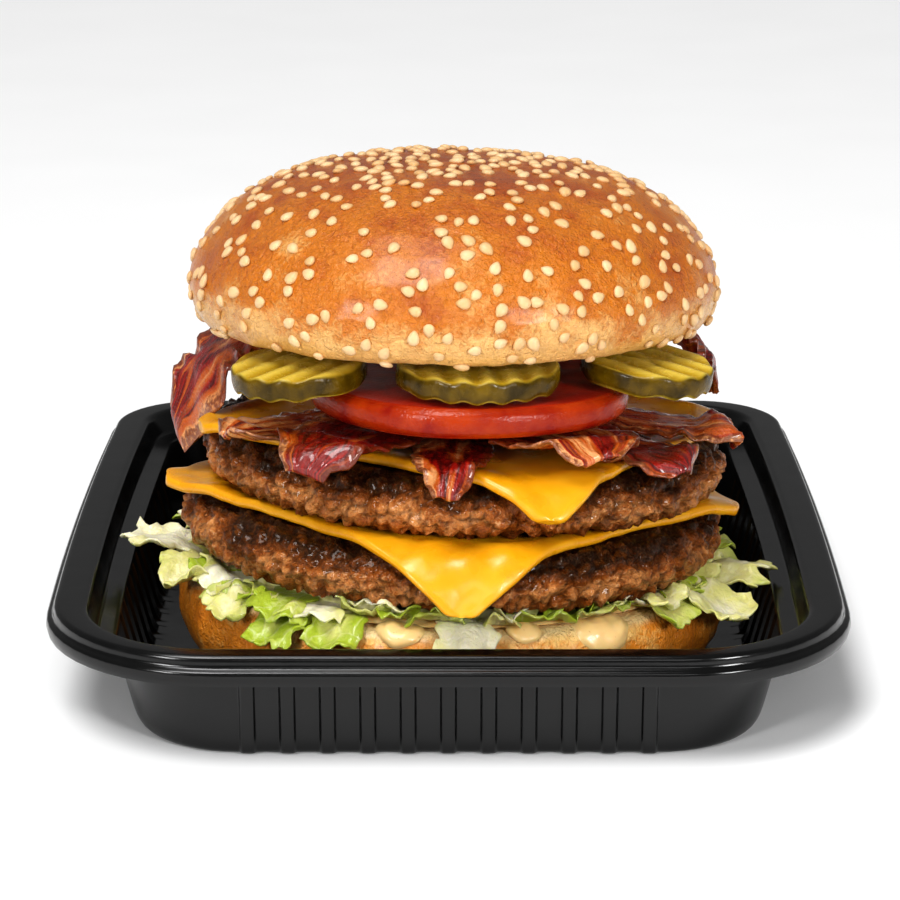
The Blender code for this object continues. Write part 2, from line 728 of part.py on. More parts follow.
def build_lettuce(group, material, axis):
    """The lettuce: a core and the leaf pieces that stick out of it."""

    def core_ring(height_of, gap):
        points = []
        for i in range(ROUND_STEPS):
            x = LETTUCE_CORE_RADIUS * math.cos(TURN * i / ROUND_STEPS)
            y = LETTUCE_CORE_RADIUS * math.sin(TURN * i / ROUND_STEPS)
            points.append(Vector((x, y, height_of(x, y) + gap)))
        return points

    core = loft([core_ring(over_sauce, GAP), core_ring(under_patty, -GAP)])
    lettuce = finish_object("lettuce", core, material, group, axis, (0, 0, HEEL_BASE))
    pieces = []
    for i, leaf in enumerate(LEAVES):
        grids = [
            [[leaf_point(leaf, out, column / 1.5 - 1, lift) for column in range(4)] for out in LEAF_ROWS]
            for lift in (0.0, LEAF_THICKNESS)
        ]
        piece = finish_object(f"leaf_{i}", thin_solid(*grids), material, group, axis, (0, 0, HEEL_BASE))
        pieces.append(piece)
    fuse(lettuce, pieces)
    return lettuce


def main():
    """Build every piece."""
    clear_scene()
    group = make_group("bacon_cheeseburger_in_tray")
    plastic = make_material("black_plastic", (0.012, 0.012, 0.013), 0.32)
    crust = make_material("bun_crust", (0.58, 0.24, 0.06), 0.45)
    beef = make_material("grilled_beef", (0.13, 0.055, 0.028), 0.5)
    cheddar = make_material("melted_cheese", (0.87, 0.50, 0.03), 0.32)
    rasher = make_material("fried_bacon", (0.42, 0.08, 0.04), 0.3)
    tomato = make_material("tomato_flesh", (0.62, 0.09, 0.03), 0.25)
    pickle = make_material("pickled_cucumber", (0.34, 0.32, 0.05), 0.25)
    leaf = make_material("iceberg_lettuce", (0.50, 0.62, 0.20), 0.4)
    cream = make_material("burger_sauce", (0.80, 0.58, 0.30), 0.3)

    build_tray(group, plastic)
    axis = make_frame("burger_axis", group, None, (BURGER_X, BURGER_Y, 0))
    build_heel(group, crust, axis)
    build_sauce(group, cream, axis)
    build_lettuce(group, leaf, axis)
    stack = make_frame(
        "patty_lean", group, axis, (0, 0, LOWER_PATTY_MIDDLE), (STACK_RISE_X, STACK_RISE_Y)
    )
    build_patty("patty_lower", LOWER_PATTY_RADIUS, LOWER_PATTY_HALF, 3.1, (0, 0, 0), group, beef, stack)
    build_cheese("cheese_lower", LOWER_SLICE, LOWER_CHEESE_BASE, group, cheddar, stack)
    upper_place = (UPPER_PATTY_SHIFT, 0, UPPER_PATTY_MIDDLE)
    build_patty("patty_upper", UPPER_PATTY_RADIUS, UPPER_PATTY_HALF, 8.4, upper_place, group, beef, stack)
    build_cheese("cheese_upper", UPPER_SLICE, UPPER_CHEESE_BASE, group, cheddar, stack)
    for strip in BACON_STRIPS:
        build_bacon(strip, group, rasher, stack)
    for slope in SLOPED_STRIPS:
        build_sloped_bacon(slope, group, rasher, stack)

    crown_frame = make_frame("crown_lean", group, axis, (0, 0, CROWN_BASE), (CROWN_RISE_X, CROWN_RISE_Y))
    for name, x, y, radius, thickness in TOMATO_SLICES:
        build_tomato(name, x, y, radius, thickness, group, tomato, crown_frame)
    for name, x, y, across, out, hang in PICKLES:
        build_pickle(name, x, y, across, out, hang, group, pickle, crown_frame)
    build_crown(group, crust, crown_frame)


if __name__ == "__main__":
    main()
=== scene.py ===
"""Looks of a double bacon cheeseburger in an open black takeaway tray.

Each class builds one sub-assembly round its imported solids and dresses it. The tray stands on z = 0, and its
front is -y. From the tray up the burger is heel, sauce, lettuce, patty, cheese, patty, cheese, bacon, tomato,
pickles and crown. Lengths are in metres unless a docstring or a name says millimetres.
"""

import logging
import math
import random
from collections.abc import Callable, Iterator, Mapping, Sequence
from dataclasses import dataclass, field
from enum import Enum
from functools import partial
from typing import Any

import bmesh
import bpy
from mathutils import Euler, Matrix, Quaternion, Vector, noise

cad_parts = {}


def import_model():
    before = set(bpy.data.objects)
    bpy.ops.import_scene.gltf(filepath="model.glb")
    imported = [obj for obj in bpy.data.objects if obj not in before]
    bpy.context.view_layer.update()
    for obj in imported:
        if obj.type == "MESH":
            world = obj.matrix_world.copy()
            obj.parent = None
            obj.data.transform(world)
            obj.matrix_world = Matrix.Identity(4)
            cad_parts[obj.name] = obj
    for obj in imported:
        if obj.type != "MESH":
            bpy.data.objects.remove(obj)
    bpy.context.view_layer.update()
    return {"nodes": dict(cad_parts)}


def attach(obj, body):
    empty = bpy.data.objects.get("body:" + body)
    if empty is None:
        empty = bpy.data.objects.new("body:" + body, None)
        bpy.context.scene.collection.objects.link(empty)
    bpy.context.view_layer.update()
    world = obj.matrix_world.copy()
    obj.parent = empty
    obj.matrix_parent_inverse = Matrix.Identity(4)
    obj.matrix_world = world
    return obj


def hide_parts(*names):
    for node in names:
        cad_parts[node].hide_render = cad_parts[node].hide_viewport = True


LOG = logging.getLogger("burger")
MM = 0.001
TURN = 2 * math.pi
GOLDEN_ANGLE = math.pi * (3 - math.sqrt(5))
MIX_BY, MIX_FROM, MIX_TO, MIXED = 0, 6, 7, 2  # sockets of a Mix node that mixes colours

GAP = 0.3 * MM  # between any two pieces that touch
BURGER_X = 0.5 * MM
BURGER_Y = -18.9 * MM
HEEL_BASE = 1.0 * MM
STACK_MIDDLE = 32.0 * MM  # height of the lower patty's middle
STACK_RISE_X = -0.05
STACK_RISE_Y = -0.055
LOWER_PATTY_HALF = 6.75 * MM
BACON_BASE = 24.05 * MM  # above the lower patty's middle
SAUCE_THICKNESS = 0.8 * MM
DISC_STEPS = 90

Socket = bpy.types.NodeSocket
Colour = bpy.types.NodeSocket | str
Values = Mapping[str, float]
Spot = tuple[Vector, Values]
Place = Callable[[float, float, float], Vector]


class Slot(Enum):
    """The finish that a piece takes, by the record's name for it."""

    PLASTIC = "black_plastic"
    CRUST = "bun_crust"
    BEEF = "grilled_beef"
    CHEESE = "melted_cheese"
    BACON = "fried_bacon"
    TOMATO = "tomato_flesh"
    PICKLE = "pickled_cucumber"
    LETTUCE = "iceberg_lettuce"
    SAUCE = "burger_sauce"


class Side(Enum):
    """Which face of a patty a point belongs to."""

    UNDER = -1
    RIM = 0
    OVER = 1


# Numbers and places


def linear(code: str) -> tuple[float, ...]:
    """Turn a colour written as sRGB hex into linear light with an alpha of 1."""
    channels = [int(code[i : i + 2], 16) / 255 for i in (1, 3, 5)]
    return (*(c / 12.92 if c <= 0.04045 else ((c + 0.055) / 1.055) ** 2.4 for c in channels), 1.0)


def per(size_mm: float) -> float:
    """Scale of a pattern whose cells are size_mm millimetres wide."""
    return 1 / (size_mm * MM)


def ease(low: float, high: float, value: float) -> float:
    """Rise smoothly from 0 where value is low to 1 where it is high."""
    share = min(1.0, max(0.0, (value - low) / (high - low)))
    return share * share * (3 - 2 * share)


def blend(start: Sequence[float], end: Sequence[float], share: float) -> tuple[float, ...]:
    """Values that lie a share of the way from start to end."""
    return tuple(a + (b - a) * share for a, b in zip(start, end))


def spread(count: int) -> list[float]:
    """Evenly spaced values from -1 to 1."""
    return [2 * i / (count - 1) - 1 for i in range(count)]


def ripple(point: Vector, size_mm: float, seed: float = 0.0) -> float:
    """Smooth noise between -1 and 1 with lumps of size_mm; each seed picks another noise."""
    return noise.noise(point * per(size_mm) + Vector((seed, 1.7 * seed, -seed)))


def polar(angle: float, reach: float, height: float = 0.0) -> Vector:
    """The point at an angle round the upright axis, a reach from it and a height."""
    return Vector((reach * math.cos(angle), reach * math.sin(angle), height))


def turned(x: float, y: float, height: float, degrees: float) -> Vector:
    """The point x, y, height turned round the upright axis."""
    cos, sin = math.cos(math.radians(degrees)), math.sin(math.radians(degrees))
    return Vector((x * cos - y * sin, x * sin + y * cos, height))


def spline(a: float, b: float, c: float, d: float, t: float) -> float:
    """A smooth curve from b to c, for t from 0 to 1, that comes from a and goes on to d."""
    square, cube = 2 * a - 5 * b + 4 * c - d, 3 * b - a - 3 * c + d
    return 0.5 * (2 * b + (c - a) * t + square * t**2 + cube * t**3)


def smooth_path(points: Sequence[tuple[float, ...]], steps: int) -> list[tuple[float, ...]]:
    """Run a smooth curve through points of any number of values.

    Args:
        points: The points to pass through.
        steps: How many steps to take between two of them.

    Returns:
        The curve's points, the first and last ones included.
    """
    ends = [points[0], *points, points[-1]]
    path = []
    for four in zip(ends, ends[1:], ends[2:], ends[3:]):
        path += [tuple(spline(*values, step / steps) for values in zip(*four)) for step in range(steps)]
    return [*path, tuple(points[-1])]


def bent_over(distance: float, start: float, bend: float, droop: float, lift: float) -> tuple[float, float]:
    """Bend a flat sheet down round an edge.

    Args:
        distance: How far out the point lies on the flat sheet.
        start: How far out the bend starts.
        bend: Its radius.
        droop: The angle in radians at which it ends.
        lift: The point's height above the sheet's underside.

    Returns:
        How far out the point comes to lie, and how high above the flat underside.
    """
    past = max(0.0, distance - start)
    angle = min(past / bend, droop)
    straight = past - angle * bend
    out = distance - past + (bend + lift) * math.sin(angle) + straight * math.cos(angle)
    return out, (bend + lift) * math.cos(angle) - bend - straight * math.sin(angle)


def bun_wobble(angle: float) -> float:
    """How much wider than a circle a bun is at this angle."""
    return 1 + 0.010 * math.sin(2 * angle + 0.7) + 0.006 * math.sin(3 * angle + 2.1)


def border(rows: int, columns: int) -> list[tuple[int, int]]:
    """Row and column of every point round the edge of a grid."""
    half = [(i, 0) for i in range(rows)] + [(rows - 1, j) for j in range(1, columns)]
    return half + [(rows - 1 - i, columns - 1 - j) for i, j in half[1:-1]]


def lean(z: float, rise_x: float = 0.0, rise_y: float = 0.0) -> Matrix:
    """The frame on the burger's axis at height z whose floor climbs by rise_x and rise_y per metre."""
    turn = Euler((math.atan(rise_y), -math.atan(rise_x), 0)).to_matrix().to_4x4()
    return Matrix.Translation((BURGER_X, BURGER_Y, z)) @ turn


HEEL_FRAME = lean(HEEL_BASE)
STACK_FRAME = lean(STACK_MIDDLE, STACK_RISE_X, STACK_RISE_Y)
CROWN_FRAME = lean(78.3 * MM, -0.01, -0.075)


# Meshes


@dataclass
class Draft:
    """Points, faces and named values of a piece while it is being made; its points are given in frame."""

    frame: Matrix = field(default_factory=lambda: Matrix.Identity(4))
    points: list[Vector] = field(default_factory=list)
    faces: list[tuple[int, ...]] = field(default_factory=list)
    values: dict[str, list[float]] = field(default_factory=dict)

    def add(self, point: Vector, values: Values | None = None) -> int:
        """Add a point.

        Args:
            point: Its place in the draft's frame.
            values: The named values that the finish reads there; the same names at every point.

        Returns:
            The point's number.
        """
        for name, value in (values or {}).items():
            self.values.setdefault(name, []).append(value)
        self.points.append(self.frame @ point)
        return len(self.points) - 1

    def skin(self, rows: Sequence[Sequence[int]], closed: bool = False) -> None:
        """Join neighbouring rows of equally many points with quads.

        Args:
            rows: Numbers of the points, row by row.
            closed: Whether each row's last point joins its first.
        """
        for low, high in zip(rows, rows[1:]):
            for i in range(len(low) if closed else len(low) - 1):
                j = (i + 1) % len(low)
                self.faces.append((low[i], low[j], high[j], high[i]))

    def fan(self, row: Sequence[int], middle: int) -> None:
        """Close a ring of points with triangles to a middle point."""
        self.faces += [(point, row[(i + 1) % len(row)], middle) for i, point in enumerate(row)]

    def lathe(
        self, rows: Sequence[Any], steps: int, spot_at: Callable[[Any, float], Spot], ends: Sequence[Spot]
    ) -> None:
        """Add a closed form of rings round an upright axis.

        Args:
            rows: What spot_at has to know of each ring, from one end to the other.
            steps: How many points a ring has.
            spot_at: Gives a point and its values for a row and an angle.
            ends: The middle points that close the first and the last ring.
        """
        rings = [[self.add(*spot_at(row, TURN * i / steps)) for i in range(steps)] for row in rows]
        self.skin(rings, closed=True)
        for ring, end in zip((rings[0], rings[-1]), ends):
            self.fan(ring, self.add(*end))

    def slab(
        self,
        place: Place,
        stops: tuple[Sequence[float], Sequence[float]],
        halves: tuple[float, float],
        thickness: float,
        values_at: Callable[[float, float], Values],
        edge_steps: int = 3,
    ) -> None:
        """Add a slab with half-round edges.

        Args:
            place: Gives a point for u, v and a height above the underside.
            stops: The values of u, and those of v, at which the slab has points.
            halves: Half lengths of the slab along u and v.
            thickness: How thick it is.
            values_at: Gives the named values at u and v.
            edge_steps: How many rings of points round the edges; with none they are cut straight.
        """
        us, vs = stops
        under, over = (
            [[self.add(place(u, v, lift), values_at(u, v)) for v in vs] for u in us]
            for lift in (0.0, thickness)
        )
        edge = border(len(us), len(vs))
        rings = [[under[i][j] for i, j in edge]]
        for step in range(1, edge_steps + 1):
            swing = math.pi * (step / (edge_steps + 1) - 0.5)
            outset, lift = thickness / 2 * math.cos(swing), thickness / 2 * (1 + math.sin(swing))
            ring = []
            for i, j in edge:
                u = us[i] + outset / halves[0] * ((i == len(us) - 1) - (i == 0))
                v = vs[j] + outset / halves[1] * ((j == len(vs) - 1) - (j == 0))
                ring.append(self.add(place(u, v, lift), values_at(us[i], vs[j])))
            rings.append(ring)
        self.skin(under)
        self.skin(over)
        self.skin([*rings, [over[i][j] for i, j in edge]], closed=True)

    def make(self, name: str, material: bpy.types.Material, sharp_degrees: float = 60.0) -> bpy.types.Object:
        """Turn the draft into an object.

        Args:
            name: The object's name.
            material: Its finish.
            sharp_degrees: Edges that bend by more than this stay sharp.

        Returns:
            The object, in the scene.
        """
        mesh = bpy.data.meshes.new(name)
        mesh.from_pydata(self.points, [], self.faces)
        work = bmesh.new()
        work.from_mesh(mesh)
        bmesh.ops.recalc_face_normals(work, faces=work.faces)
        work.to_mesh(mesh)
        work.free()
        for key, numbers in self.values.items():
            mesh.attributes.new(key, "FLOAT", "POINT").data.foreach_set("value", numbers)
        mesh.shade_smooth()
        mesh.set_sharp_from_angle(angle=math.radians(sharp_degrees))
        mesh.materials.append(material)
        piece = bpy.data.objects.new(name, mesh)
        bpy.context.scene.collection.objects.link(piece)
        return piece


def hand_over(piece: bpy.types.Object, slot: Slot, *nodes: str) -> None:
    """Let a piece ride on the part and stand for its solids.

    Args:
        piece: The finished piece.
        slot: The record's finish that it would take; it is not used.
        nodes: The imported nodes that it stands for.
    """
    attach(piece, "root")
    if nodes:
        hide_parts(*nodes)
    LOG.info("%s: %d faces, stands for %s", piece.name, len(piece.data.polygons), ", ".join(nodes) or "none")


# Finishes


class Bench:
    """A material that is being put together: its nodes, its shader and its place on the object."""

    def __init__(
        self, name: str, ior: float, soft: tuple[float, tuple[float, ...], float] | None = None, **fixed: Any
    ) -> None:
        """Start a material.

        Args:
            name: The material's name.
            ior: Its index of refraction.
            soft: How much light goes through it, how far red, green and blue go, and the scale of that in mm.
            fixed: Sockets of the shader that are the same all over, by name with _ for a space.
        """
        self.material = bpy.data.materials.new(name)
        self.material.use_nodes = True
        self.tree = self.material.node_tree
        self.shader = self.tree.nodes["Principled BSDF"]
        if soft:
            weight, radius, scale_mm = soft
            fixed |= {"Subsurface_Weight": weight, "Subsurface_Radius": radius}
            fixed["Subsurface_Scale"] = scale_mm * MM
        for socket, value in {"IOR": ior, **fixed}.items():
            self.shader.inputs[socket.replace("_", " ")].default_value = value
        self.place = self.add("TexCoord", {}, "Object")

    def add(self, kind: str, inputs: Mapping[str | int, Any], out: str | int = 0, **settings: Any) -> Socket:
        """Add a node, set it and feed it.

        Args:
            kind: Its type, without the ShaderNode before it.
            inputs: What each socket gets: another node's output, a number, or a colour as hex.
            out: The output that is wanted.
            settings: The node's own settings.

        Returns:
            That output.
        """
        node = self.tree.nodes.new(f"ShaderNode{kind}")
        for name, value in settings.items():
            setattr(node, name, value)
        for socket, source in inputs.items():
            if isinstance(source, Socket):
                self.tree.links.new(source, node.inputs[socket])
            else:
                node.inputs[socket].default_value = linear(source) if isinstance(source, str) else source
        return node.outputs[out]

    def value(self, name: str) -> Socket:
        """Read one of the mesh's named values."""
        return self.add("Attribute", {}, "Fac", attribute_name=name)

    def noise(
        self, size_mm: float, detail: float = 2.0, strip: Socket | None = None, **more: float
    ) -> Socket:
        """Add a noise.

        Args:
            size_mm: How wide its lumps are.
            detail: How many finer noises it has on top.
            strip: Where to read it, in millimetres, if not at the place on the object.
            more: Other inputs of its node.

        Returns:
            The noise, from 0 to 1.
        """
        spot = {"Vector": self.place, "Scale": per(size_mm)}
        if strip is not None:
            spot = {"Vector": strip, "Scale": 1 / size_mm}
        return self.add("TexNoise", {**spot, "Detail": detail, **more})

    def cells(self, size_mm: float) -> Socket:
        """Distance from the middle of cells of size_mm."""
        return self.add("TexVoronoi", {"Vector": self.place, "Scale": per(size_mm)}, "Distance")

    def span(self, source: Socket, low: float, high: float, start: float = 0.0, end: float = 1.0) -> Socket:
        """Carry source over so that low gives start and high gives end."""
        limits = {"From Min": low, "From Max": high, "To Min": start, "To Max": end}
        return self.add("MapRange", {"Value": source, **limits})

    def sway(self, source: Socket, by: float, base: Socket, centre: float = 0.0) -> Socket:
        """Let one value push another up and down.

        Args:
            source: The value that pushes.
            by: How strongly it does.
            base: The value that is pushed.
            centre: Where source doesn't push at all.

        Returns:
            The pushed value.
        """
        if centre:
            source = self.add("Math", {0: source, 1: -centre}, operation="ADD")
        return self.add("Math", {0: source, 1: by, 2: base}, operation="MULTIPLY_ADD")

    def mix(self, by: Socket, start: Colour, end: Colour) -> Socket:
        """Mix two colours."""
        return self.add("Mix", {MIX_BY: by, MIX_FROM: start, MIX_TO: end}, MIXED, data_type="RGBA")

    def bands(
        self, level: Socket, colour: Colour, *bands: tuple[float, float, str], most: float = 1.0
    ) -> Colour:
        """Paint band after band over a colour.

        Args:
            level: What decides where a band shows.
            colour: The colour under them all.
            bands: For each, the level where it starts, the level where it is full, and its colour.
            most: How much a full band covers.

        Returns:
            The colour with its bands.
        """
        for low, high, shade in bands:
            colour = self.mix(self.span(level, low, high, 0.0, most), colour, shade)
        return colour

    def bump(self, height: Socket, strength: float, depth_mm: float, below: Socket | None = None) -> Socket:
        """Give the surface relief, on top of the relief below."""
        inputs = {"Height": height, "Strength": strength, "Distance": depth_mm * MM}
        return self.add("Bump", inputs if below is None else {**inputs, "Normal": below})

    def finish(self, **sockets: Socket) -> bpy.types.Material:
        """Feed the shader's varying sockets.

        Args:
            sockets: What each gets, by name with _ for a space.

        Returns:
            The finished material.
        """
        for socket, source in sockets.items():
            self.tree.links.new(source, self.shader.inputs[socket.replace("_", " ")])
        return self.material


@dataclass(frozen=True)
class BlackPolypropylene:
    """Thermoformed black polypropylene: satin black that shows the light as soft grey lines."""

    black: str = "#050505"
    scuffed: str = "#101010"
    waviness_mm: float = 9.0
    grain_mm: float = 0.7

    def make(self) -> bpy.types.Material:
        """Make the material.

        Returns:
            The material.
        """
        bench = Bench("black polypropylene, thermoformed", 1.49, Specular_IOR_Level=0.5)
        cloud = bench.noise(self.waviness_mm, 3)
        colour = bench.mix(bench.span(cloud, 0.55, 0.8, 0.0, 0.5), self.black, self.scuffed)
        relief = bench.bump(bench.noise(self.grain_mm), 0.25, 0.02, bench.bump(cloud, 0.4, 0.15))
        rough = bench.span(cloud, 0.3, 0.7, 0.14, 0.24)
        return bench.finish(Base_Color=colour, Roughness=rough, Normal=relief)


@dataclass(frozen=True)
class BakedCrust:
    """Egg-washed bread crust: glossy orange brown where baked, cream where the dough stayed pale.

    The mesh's value bake says how brown the crust is, and crumb where the cut face shows.
    """

    name: str
    crumb: str = "#F3D7A0"
    pale: str = "#E0AC66"
    golden: str = "#C4700A"
    brown: str = "#A9500A"
    dark: str = "#7E340C"
    blotch_mm: float = 11.0
    wrinkle_mm: float = 1.4
    pore_mm: float = 0.6

    def make(self) -> bpy.types.Material:
        """Make the material.

        Returns:
            The material.
        """
        bench = Bench(self.name, 1.45, (0.05, (1.0, 0.45, 0.2), 1.5), Coat_Weight=0.4, Coat_Roughness=0.26)
        wrinkle = bench.noise(self.wrinkle_mm, 4, Roughness=0.6, Distortion=0.8)
        bake = bench.sway(bench.noise(self.blotch_mm, 4), 1.2, bench.value("bake"), 0.5)
        # Painted shade and highlight: the wrinkle relief darkens the crust in its troughs and lightens it on
        # its crests.
        level = bench.sway(wrinkle, -0.6, bake, 0.5)
        bands = (0.12, 0.4, self.golden), (0.5, 0.8, self.brown), (0.86, 1.15, self.dark)
        colour = bench.mix(bench.value("crumb"), bench.bands(level, self.pale, *bands), self.crumb)
        relief = bench.bump(bench.cells(self.pore_mm), 0.7, 0.25, bench.bump(wrinkle, 1.0, 1.0))
        rough = bench.span(wrinkle, 0.3, 0.7, 0.26, 0.46)
        return bench.finish(Base_Color=colour, Roughness=rough, Normal=relief)


@dataclass(frozen=True)
class HulledSesame:
    """Hulled sesame seed: smooth ivory with a warmer, toasted tip. The mesh's value toast says how brown."""

    ivory: str = "#DEBE92"
    toasted: str = "#C79558"
    streak_mm: float = 0.6

    def make(self) -> bpy.types.Material:
        """Make the material.

        Returns:
            The material.
        """
        bench = Bench("sesame seed, hulled and toasted", 1.45, (0.2, (1.0, 0.7, 0.4), 0.8), Roughness=0.42)
        colour = bench.mix(bench.value("toast"), self.ivory, self.toasted)
        return bench.finish(Base_Color=colour, Normal=bench.bump(bench.noise(self.streak_mm), 0.3, 0.08))


@dataclass(frozen=True)
class SearedMince:
    """Seared beef mince: coarse strands, pinkish brown inside, near black where the grill charred it.

    The mesh's value char says how dark the searing is; another, how deep between strands, paints shade.
    """

    pink: str = "#CA884E"
    brown: str = "#98531F"
    seared: str = "#683410"
    black: str = "#281208"
    fat: str = "#CFA077"
    grease: str = "#A85C18"
    gloss: str = "#F0C48E"
    strand_mm: float = 1.5
    patch_mm: float = 5.0
    crumb_mm: float = 0.6

    def make(self) -> bpy.types.Material:
        """Make the material.

        Returns:
            The material.
        """
        gloss = {"Coat_Weight": 0.25, "Coat_Roughness": 0.1, "Specular_Tint": linear(self.gloss)}
        bench = Bench("minced beef, seared", 1.42, (0.08, (1.0, 0.3, 0.15), 1.2), **gloss)
        strand = bench.noise(self.strand_mm, 4, Roughness=0.62, Distortion=1.2)
        patch = bench.noise(self.patch_mm, 3, Distortion=0.6)
        level = bench.sway(strand, -0.9, bench.sway(patch, 1.1, bench.value("char")))
        bands = (0.0, 0.3, self.brown), (0.3, 0.65, self.seared), (0.7, 1.0, self.black)
        colour = bench.bands(level, self.pink, *bands)
        lit, uncharred = bench.span(strand, 0.58, 0.68, 0.0, 0.55), bench.span(level, 0.6, 0.2)
        colour = bench.mix(bench.add("Math", {0: lit, 1: uncharred}, operation="MULTIPLY"), colour, self.fat)
        colour = bench.mix(bench.span(patch, 0.58, 0.7, 0.0, 0.4), colour, self.grease)
        # Painted shade: deep between the strands the colour goes towards near black.
        colour = bench.mix(bench.value("pit"), colour, self.black)
        relief = bench.bump(bench.cells(self.crumb_mm), 0.6, 0.25, bench.bump(strand, 1.0, 1.2))
        rough = bench.span(strand, 0.35, 0.65, 0.5, 0.2)
        return bench.finish(Base_Color=colour, Roughness=rough, Normal=relief)


@dataclass(frozen=True)
class MeltedCheddar:
    """Melted processed cheddar: smooth, deep yellow and glossy, lighter where it stretched thin."""

    deep: str = "#DB9405"
    light: str = "#E4A61A"
    dimple_mm: float = 9.0
    grain_mm: float = 0.9

    def make(self) -> bpy.types.Material:
        """Make the material.

        Returns:
            The material.
        """
        soft = (0.2, (1.0, 0.7, 0.1), 1.5)
        bench = Bench("processed cheddar, melted", 1.45, soft, Coat_Weight=0.15, Coat_Roughness=0.06)
        cloud = bench.noise(self.dimple_mm)
        colour = bench.mix(bench.span(cloud, 0.3, 0.7), self.deep, self.light)
        relief = bench.bump(bench.noise(self.grain_mm), 0.15, 0.1, bench.bump(cloud, 0.5, 0.8))
        rough = bench.span(cloud, 0.3, 0.7, 0.24, 0.32)
        return bench.finish(Base_Color=colour, Roughness=rough, Normal=relief)


@dataclass(frozen=True)
class FriedRasher:
    """Fried streaky bacon: dark red meat and amber to whitish fat in streaks, crisp brown edges.

    The mesh's values along and across are millimetres on the strip, edge is 1 at its long sides, and
    fatty says how much more fat than lean the strip has.
    """

    meat: str = "#98180C"
    deep_meat: str = "#420805"
    amber: str = "#BA5A16"
    fat: str = "#DA9A62"
    crisp: str = "#6A2A0A"
    streak_mm: float = 8.0
    fibre_mm: float = 1.2
    blister_mm: float = 1.1
    squeeze: float = 0.24

    def make(self) -> bpy.types.Material:
        """Make the material.

        Returns:
            The material.
        """
        soft = (0.06, (1.0, 0.35, 0.15), 1.0)
        bench = Bench("streaky bacon, fried", 1.46, soft, Coat_Weight=0.6, Coat_Roughness=0.1)
        edge = bench.value("edge")
        along = bench.add("Math", {0: bench.value("along"), 1: self.squeeze}, operation="MULTIPLY")
        strip = bench.add("CombineXYZ", {0: along, 1: bench.value("across")})
        streak = bench.noise(self.streak_mm, 3, strip, Distortion=1.6)
        fibre = bench.noise(self.fibre_mm, 3, strip, Distortion=0.4)
        blister = bench.noise(self.blister_mm, 3)
        colour = bench.mix(bench.span(fibre, 0.35, 0.65), self.deep_meat, self.meat)
        marbled = bench.add("Math", {0: streak, 1: bench.value("fatty")}, operation="ADD")
        bands = (0.5, 0.58, self.amber), (0.6, 0.66, self.fat)
        colour = bench.bands(bench.sway(edge, 0.12, marbled), colour, *bands, most=0.9)
        burnt = bench.span(bench.sway(edge, 0.55, blister), 0.8, 1.05, 0.0, 0.85)
        colour = bench.mix(burnt, colour, self.crisp)
        relief = bench.bump(blister, 0.9, 0.6, bench.bump(fibre, 0.6, 0.25))
        rough = bench.span(blister, 0.3, 0.7, 0.5, 0.22)
        return bench.finish(Base_Color=colour, Roughness=rough, Normal=relief)


@dataclass(frozen=True)
class RipeTomato:
    """Ripe tomato: taut, shiny red skin round wet orange-red flesh. The value flesh is 1 on a cut face."""

    skin: str = "#861502"
    blush: str = "#A63606"
    flesh: str = "#C2351A"
    pulp: str = "#971707"
    cloud_mm: float = 7.0
    speckle_mm: float = 0.8

    def make(self) -> bpy.types.Material:
        """Make the material.

        Returns:
            The material.
        """
        bench = Bench("ripe tomato, sliced", 1.4, (0.1, (1.0, 0.25, 0.1), 2.0), Specular_IOR_Level=0.4)
        flesh = bench.value("flesh")
        shade = bench.span(bench.noise(self.cloud_mm, 3), 0.35, 0.65)
        skin, inside = bench.mix(shade, self.skin, self.blush), bench.mix(shade, self.flesh, self.pulp)
        rough = bench.span(flesh, 0.0, 1.0, 0.27, 0.36)
        relief = bench.bump(bench.noise(self.speckle_mm), 0.6, 0.25)
        return bench.finish(Base_Color=bench.mix(flesh, skin, inside), Roughness=rough, Normal=relief)


@dataclass(frozen=True)
class PickledGherkin:
    """Pickled gherkin, crinkle cut: translucent yellow-green flesh in an olive skin, wet with brine.

    The mesh's value skin is 1 on the outside, and ridge is 1 on the crests of the crinkle.
    """

    flesh: str = "#A98B22"
    # Colour of the crinkle's crests, painted lighter as a highlight.
    crest: str = "#CBB34E"
    skin: str = "#382A02"
    skin_light: str = "#6C5406"
    fibre_mm: float = 1.8
    cloud_mm: float = 5.0

    def make(self) -> bpy.types.Material:
        """Make the material.

        Returns:
            The material.
        """
        soft = (0.25, (1.0, 0.85, 0.2), 2.5)
        bench = Bench("gherkin, pickled and crinkle cut", 1.38, soft, Specular_IOR_Level=0.35)
        fibre, cloud = bench.noise(self.fibre_mm, 3, Distortion=0.7), bench.noise(self.cloud_mm)
        # Painted highlight and shade: the face is lighter on the crinkle's crests and darker in its grooves.
        pale = bench.span(bench.sway(cloud, 0.9, bench.value("ridge")), 0.55, 1.35)
        rind = bench.mix(bench.span(cloud, 0.35, 0.7), self.skin, self.skin_light)
        colour = bench.mix(bench.value("skin"), bench.mix(pale, self.flesh, self.crest), rind)
        rough = bench.span(fibre, 0.3, 0.7, 0.16, 0.32)
        return bench.finish(Base_Color=colour, Roughness=rough, Normal=bench.bump(fibre, 0.45, 0.3))


